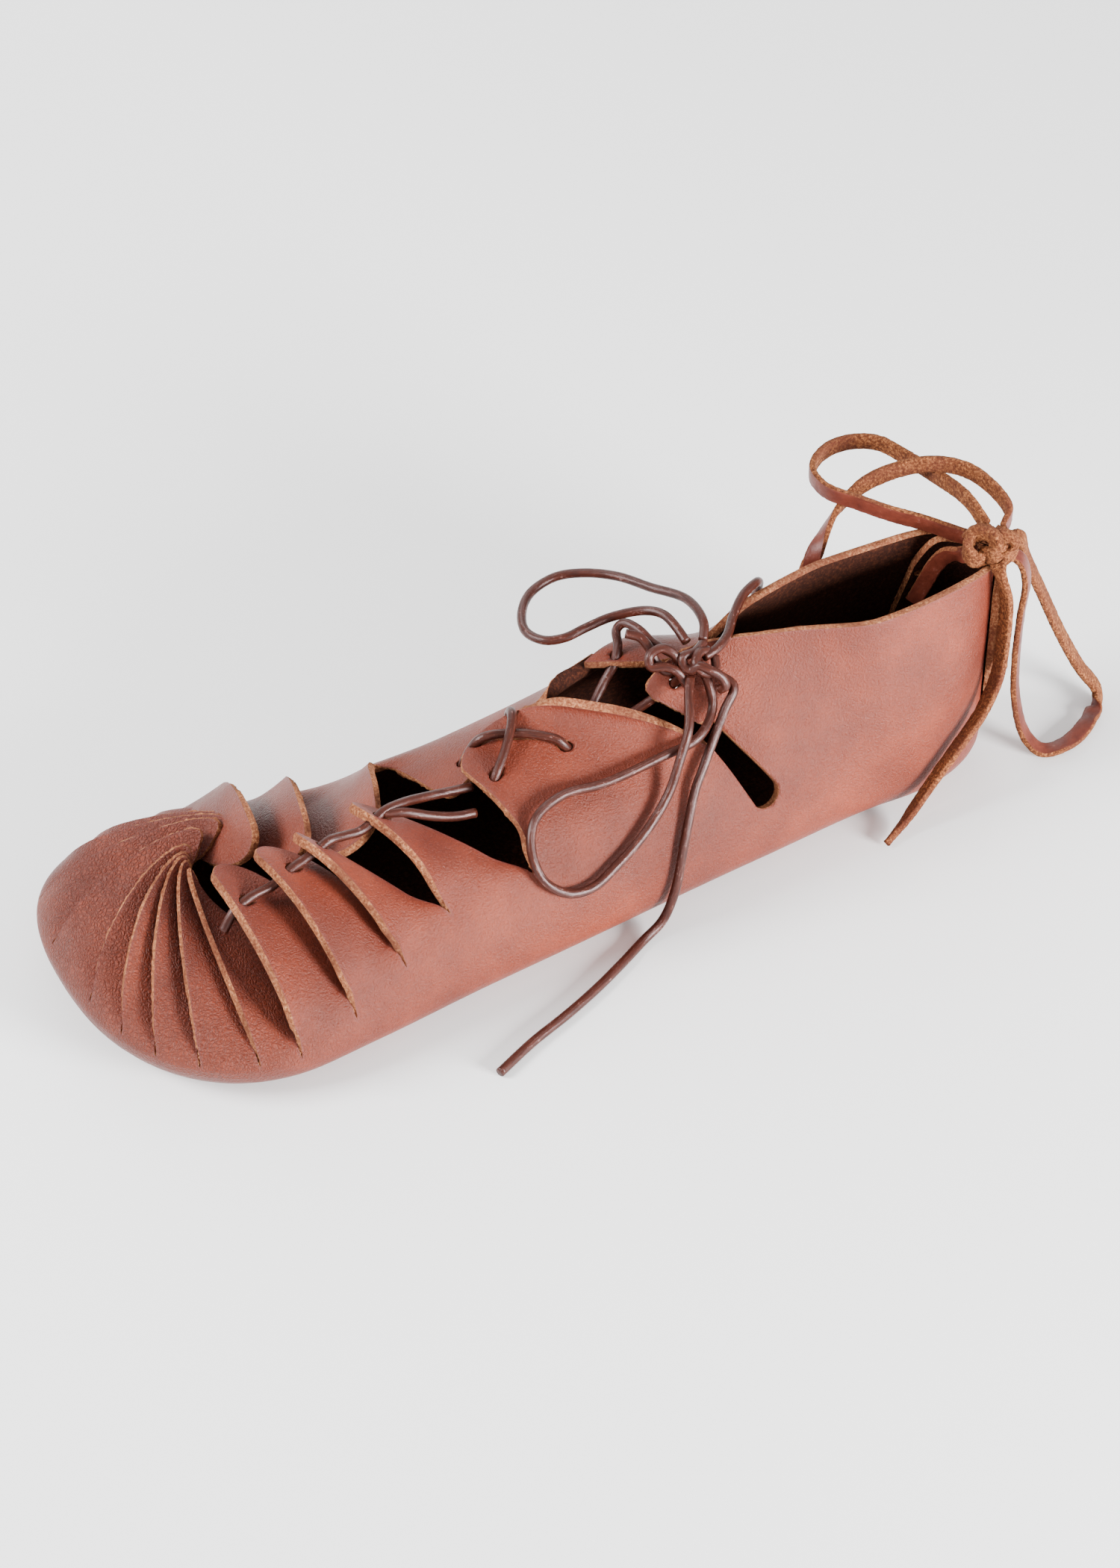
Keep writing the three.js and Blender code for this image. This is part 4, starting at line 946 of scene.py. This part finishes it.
def lace_material(name, low, high, roughness, glints):
    """A leather lace or thong: streaks along it, with painted pinkish glints in places."""
    material, tree, shader = new_material(name, srgb(*high), roughness)
    where = add(tree, "ShaderNodeUVMap", dict(uv_map="run")).outputs[0]
    long = add(tree, "ShaderNodeMapping", Vector=where, Scale=(9.0, 0.16, 1.0)).outputs[0]
    streak = spots(tree, long, 1.0, 5.0, 0.65)
    place = add(tree, "ShaderNodeTexCoord").outputs["Object"]
    fleck = spots(tree, place, 1100.0, 4.0, 0.7)
    color = ramp(tree, streak, [(0.3, srgb(*low)), (0.7, srgb(*high))])
    # painted highlight: pinkish glints where flecks and streaks are strong, as much as glints gives
    pale = ramp(tree, combine(tree, fleck, streak), [(0.32, grey(0.0)), (0.42, grey(glints))])
    tree.links.new(blend_color(tree, pale, color, srgb(206, 164, 158)), shader.inputs["Base Color"])
    shader.inputs["Specular IOR Level"].default_value = 0.36
    shader.inputs["Specular Tint"].default_value = (1.0, 0.8, 0.8, 1)
    normal = bump(tree, streak, 0.4, 0.0004)
    tree.links.new(bump(tree, fleck, 0.3, 0.0003, normal), shader.inputs["Normal"])
    return material


GRAIN = grain_material()
FLESH = flesh_material()
EDGE = edge_material()
LACE_SKIN = lace_material("lace", (34, 12, 8), (70, 30, 19), 0.32, 0.25)
THONG_SKIN = lace_material("thong", (74, 30, 22), (108, 50, 36), 0.4, 0.1)
SUEDE = edge_material("suede", (48, 20, 12), (104, 56, 32), (178, 114, 70))


# Pieces
def finish_piece(made, material_slot, *nodes):
    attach(made, "root")
    if nodes:
        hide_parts(*nodes)
    return made


def cut(body, route, outline, across=((0, 0, 1), (0, 0, 1))):
    """A hole through the leather with cut sides, of the outline swept along the route."""
    points, faces = sweep(route, outline, 2.0, across)[:2]
    zero = np.zeros(len(points))
    edges = [EDGE_SLOT] * len(faces)
    tool = new_object("hole", points, faces, body.data.materials, edges, dict(wear_and_shade=(zero, zero)))
    step = body.modifiers.new("hole", "BOOLEAN")
    step.operation = "DIFFERENCE"
    step.solver = "MANIFOLD"
    step.object = tool
    step.material_mode = "INDEX"
    return tool


def drop(k):
    """Route, outline and heading of the drop-shaped hole at the root of slit k."""
    midway, turning, root = SLITS[k][2:]
    foot = on_column(midway, root)
    ahead = unit(on_column(midway, root + 0.1) - foot)
    aside = unit(turning - ahead * dot(ahead, turning)) * (1 if k == 1 else -1)
    lean = math.radians(DROP_LEAN)
    heading = ahead * math.cos(lean) + aside * math.sin(lean)
    through = unit(np.cross(ahead, aside)) * DROP_WIDTH
    angles = np.arange(4 * SIDES) * np.pi / SIDES / 2
    narrower = 0.5 - DROP_NARROWER * (np.cos(angles) > 0)
    outline = np.stack([np.cos(angles), np.sin(angles)], -1) * DROP_WIDTH * narrower[:, None]
    outline[:, 0] += np.where(np.cos(angles) > 0, DROP_LENGTH if k == 1 else FAR_DROP_LENGTH, 0)
    low = foot + ahead * DROP_FOOT * DROP_WIDTH
    return [low - through, low, low + through], outline, (heading, heading)


def make_leather():
    vertices, faces, slots, off, crease = leather_mesh()
    made = new_object("leather", vertices, faces, [GRAIN, FLESH, EDGE], slots, dict(wear_and_shade=(off, crease)))
    laced = ("toe_run", "toe_branch", "instep_low", "instep_high", "instep_under")
    tools = [cut(made, ROUTES[name], ROUND * (LACE / 2 + HOLE_GAP)) for name in laced]
    tools.append(cut(made, HEEL_HOLE, ROUND * HEEL_HOLE_WIDTH / 2))
    tools += [cut(made, *drop(k)) for k in (1, PANELS - 1)]
    graph = bpy.context.evaluated_depsgraph_get()
    data = bpy.data.meshes.new_from_object(made.evaluated_get(graph))
    made.modifiers.clear()
    made.data = data
    for tool in tools:
        bpy.data.objects.remove(tool)
    return finish_piece(made, "leather", "upper_and_sole")


def make_cord(name, parts, material, material_slot, *nodes):
    points, faces, run = join(parts)
    made = new_object(name, points, faces, [material], None, dict(run=run))
    return finish_piece(made, material_slot, *nodes)


def round_lace(name, node, *routes):
    parts = [sweep(ROUTES[r], ROUND * LACE / 2) for r in routes]
    return make_cord(name, parts, LACE_SKIN, "lace", node), parts[0][3]


# The knots' turns, in millimetres to the right, up and towards whoever looks from the photo's side.
RIGHT = np.array([0.464, 0.886, 0.0])
UP = np.array([-0.593, 0.311, 0.743])
OUT = np.array([0.658, -0.345, 0.669])
INSTEP_KNOT = np.array([2.0, 44.5, 63.2])
HEEL_KNOT = np.array([5.4, 141.4, 70.9])
INSTEP_TURNS = [
    [
        (-17.4, 7.6, 3), (-13.5, 6.5, 2.6), (-10.8, 3.4, 2.8), (-9, -0.2, 1.6), (-6, -2.9, 1.4),
        (-3.3, -0.9, 2.4), (-4.1, 1.8, 4.2), (-7.6, 3.4, 5), (-10.8, 1.4, 5), (-10.5, -1.7, 4.6),
        (-6.8, -1.6, 5), (-3.3, -2.9, 4.4), (-1.3, -5.3, 2.8), (0.6, -8.2, 1.4),
    ],
    [
        (4.2, 5.3, 1), (1.8, 2.6, 3.4), (-1.7, 1, 4.6), (-1.3, -1.7, 4.6), (0.6, -2.5, 5), (2.6, -1.4, 6.6),
        (5.6, -2.6, 6.8), (8.6, -4.2, 5.4), (10, -6.8, 3.8), (8.5, -7.7, 2),
    ],
    [(5.3, 3, 1.2), (2.6, 2.2, 4.4), (1.8, -0.9, 6.2), (4.1, -3.3, 4.8), (7.2, -2.5, 2.2), (7.2, 1.4, 1)],
]
HEEL_TURNS = [
    [(-7.6, 1.4, 0), (-5.1, 3.2, 3), (-1.7, 2.4, 5), (0, -0.5, 5.4), (-0.9, -3.1, 3.6), (-3.4, -2.6, 0.6)],
    [(-2.5, 2.8, 0.4), (0.9, 2, 4.6), (3.5, 1.2, 4.8), (4.2, -1.4, 3.6), (2.2, -3.7, 2.8), (0, -2.6, 0.4)],
    [(1.6, 3.4, -1), (-1, 0.6, 3.4), (0.8, -2, 4), (4, -0.4, 1.6), (3.8, 2.6, -1)],
    [(-1.4, 3.6, -1), (-5.8, 2.4, 1.6), (-8.2, -0.8, 2.8), (-6.6, -4.2, 2.4), (-2.8, -4, 0.6)],
]


def knot_turn(turn, at):
    return [tuple(at + r * RIGHT + u * UP + o * OUT) for r, u, o in turn]


def make_laces():
    round_lace("toe_lace_run", "toe_lace", "toe_run", "toe_branch")
    round_lace("instep_lace_run", "instep_lace", "instep_low", "instep_high", "instep_under")
    turns = [sweep(knot_turn(turn, INSTEP_KNOT), ROUND * LACE / 2, 0.5) for turn in INSTEP_TURNS]
    knot = make_cord("instep_knot_turns", turns, LACE_SKIN, "lace", "instep_knot")
    for name, far_end, lay in (
        ("far_bow_loop", "object", "loose"),
        ("near_bow_loop", "object", "loose"),
        ("near_lace_end", "bare", "loose"),
        ("far_lace_end", "bare", "hanging"),
    ):
        made, line = round_lace(name + "_cord", name, name)


THONG_WIDTH = 5.0
THONG_THICK = 2.0
THONG_SECTION = strap(THONG_WIDTH, THONG_THICK)
THONG_ROUGH = 0.16
KNOT_WIDTH = 4.8
KNOT_THICK = 2.6
KNOT_ROUGH = 0.4


def thong(name, across, grain_side, taper=0.0):
    """A flat thong: smooth on the side that grain_side picks, suede on the rest."""
    points, faces, run, line = sweep(ROUTES[name], THONG_SECTION, 0.9, across, THONG_ROUGH, taper)
    facing = (THONG_SECTION[:, 1] + np.roll(THONG_SECTION[:, 1], -1)) / 2 * grain_side
    smooth = facing > 0.8 * THONG_THICK / 2
    bands = (len(faces) - 2 * SIDES) // SIDES
    slots = [0 if smooth[m] else 1 for _ in range(bands) for m in range(SIDES)] + [1] * (2 * SIDES)
    made = new_object(name + "_thong", points, faces, [THONG_SKIN, SUEDE], slots, dict(run=run))
    return finish_piece(made, "thong", name), line


def make_thongs():
    section = strap(KNOT_WIDTH, KNOT_THICK)
    turns = [sweep(knot_turn(turn, HEEL_KNOT), section, 0.5, rough=KNOT_ROUGH) for turn in HEEL_TURNS]
    knot = make_cord("heel_knot_turns", turns, SUEDE, "thong", "heel_knot")
    thong("heel_bar", ((0.8, 0.6, 0), (0.8, 0.6, 0)), -1)
    for name, across, grain_side, taper, far_end, lay in (
        ("heel_loop_a", ((0, 0, 1), (0, 0, 1)), -1, 0, "object", "loose"),
        ("heel_end_c", ((0, 0, 1), (0, 1, 0)), 1, 0, "bare", "hanging"),
        ("heel_loop_b", ((0.7, -0.7, 0), (0.7, -0.7, 0)), 1, 0, "object", "loose"),
        ("heel_end_d", ((1, 0, 0), (0.6, 0.2, 0.7)), -1, 14, "bare", "hanging"),
    ):
        made, line = thong(name, across, grain_side, taper)


# Camera, floor and light
AZIMUTH, ELEVATION, DISTANCE = 62.34, 42.03, 1041.76
AIM = np.array([-4.43, 7.91, 28.0])
LENS, SENSOR = 85.71, 36.0


def make_camera():
    a, e = math.radians(AZIMUTH), math.radians(ELEVATION)
    back = np.array([math.sin(a) * math.cos(e), -math.cos(a) * math.cos(e), math.sin(e)])
    data = bpy.data.cameras.new("camera")
    data.lens = LENS
    data.sensor_width = SENSOR
    data.sensor_fit = "AUTO"
    data.clip_start = 0.05
    camera = bpy.data.objects.new("camera", data)
    camera.location = world(AIM + back * DISTANCE)
    camera.rotation_euler = Vector(back).to_track_quat("Z", "Y").to_euler()
    bpy.context.scene.collection.objects.link(camera)
    bpy.context.scene.camera = camera


def make_floor():
    material, _, shader = new_material("floor", grey(0.96), 0.85)
    shader.inputs["Base Color"].default_value = (*grey(0.96), 1)
    shader.inputs["Specular IOR Level"].default_value = 0.1
    data = bpy.data.meshes.new("floor")
    half = 6.0
    corners = [(-half, -half, 0), (half, -half, 0), (half, half, 0), (-half, half, 0)]
    data.from_pydata(corners, [], [(0, 1, 2, 3)])
    data.materials.append(material)
    floor = bpy.data.objects.new("floor", data)
    bpy.context.scene.collection.objects.link(floor)


def softbox(name, place, size, power, aim=(0, 0, 0.02)):
    data = bpy.data.lights.new(name, "AREA")
    data.shape = "RECTANGLE"
    data.size, data.size_y = size
    data.energy = power
    light = bpy.data.objects.new(name, data)
    light.location = place
    light.rotation_euler = (Vector(place) - Vector(aim)).to_track_quat("Z", "Y").to_euler()
    bpy.context.scene.collection.objects.link(light)


def make_light():
    scene_world = bpy.data.worlds.new("studio")
    scene_world.use_nodes = True
    background = scene_world.node_tree.nodes["Background"]
    background.inputs["Color"].default_value = (1, 1, 1, 1)
    background.inputs["Strength"].default_value = 0.85
    bpy.context.scene.world = scene_world
    softbox("key", (1.05, 0.55, 0.3), (0.45, 0.36), 60, (0.03, 0.06, 0.04))
    softbox("back", (-1.0, 0.3, 0.7), (0.9, 0.6), 7)
    softbox("front", (-0.3, -1.0, 0.75), (0.6, 0.5), 34)


make_camera()
make_floor()
make_light()
make_laces()
make_thongs()
make_leather()
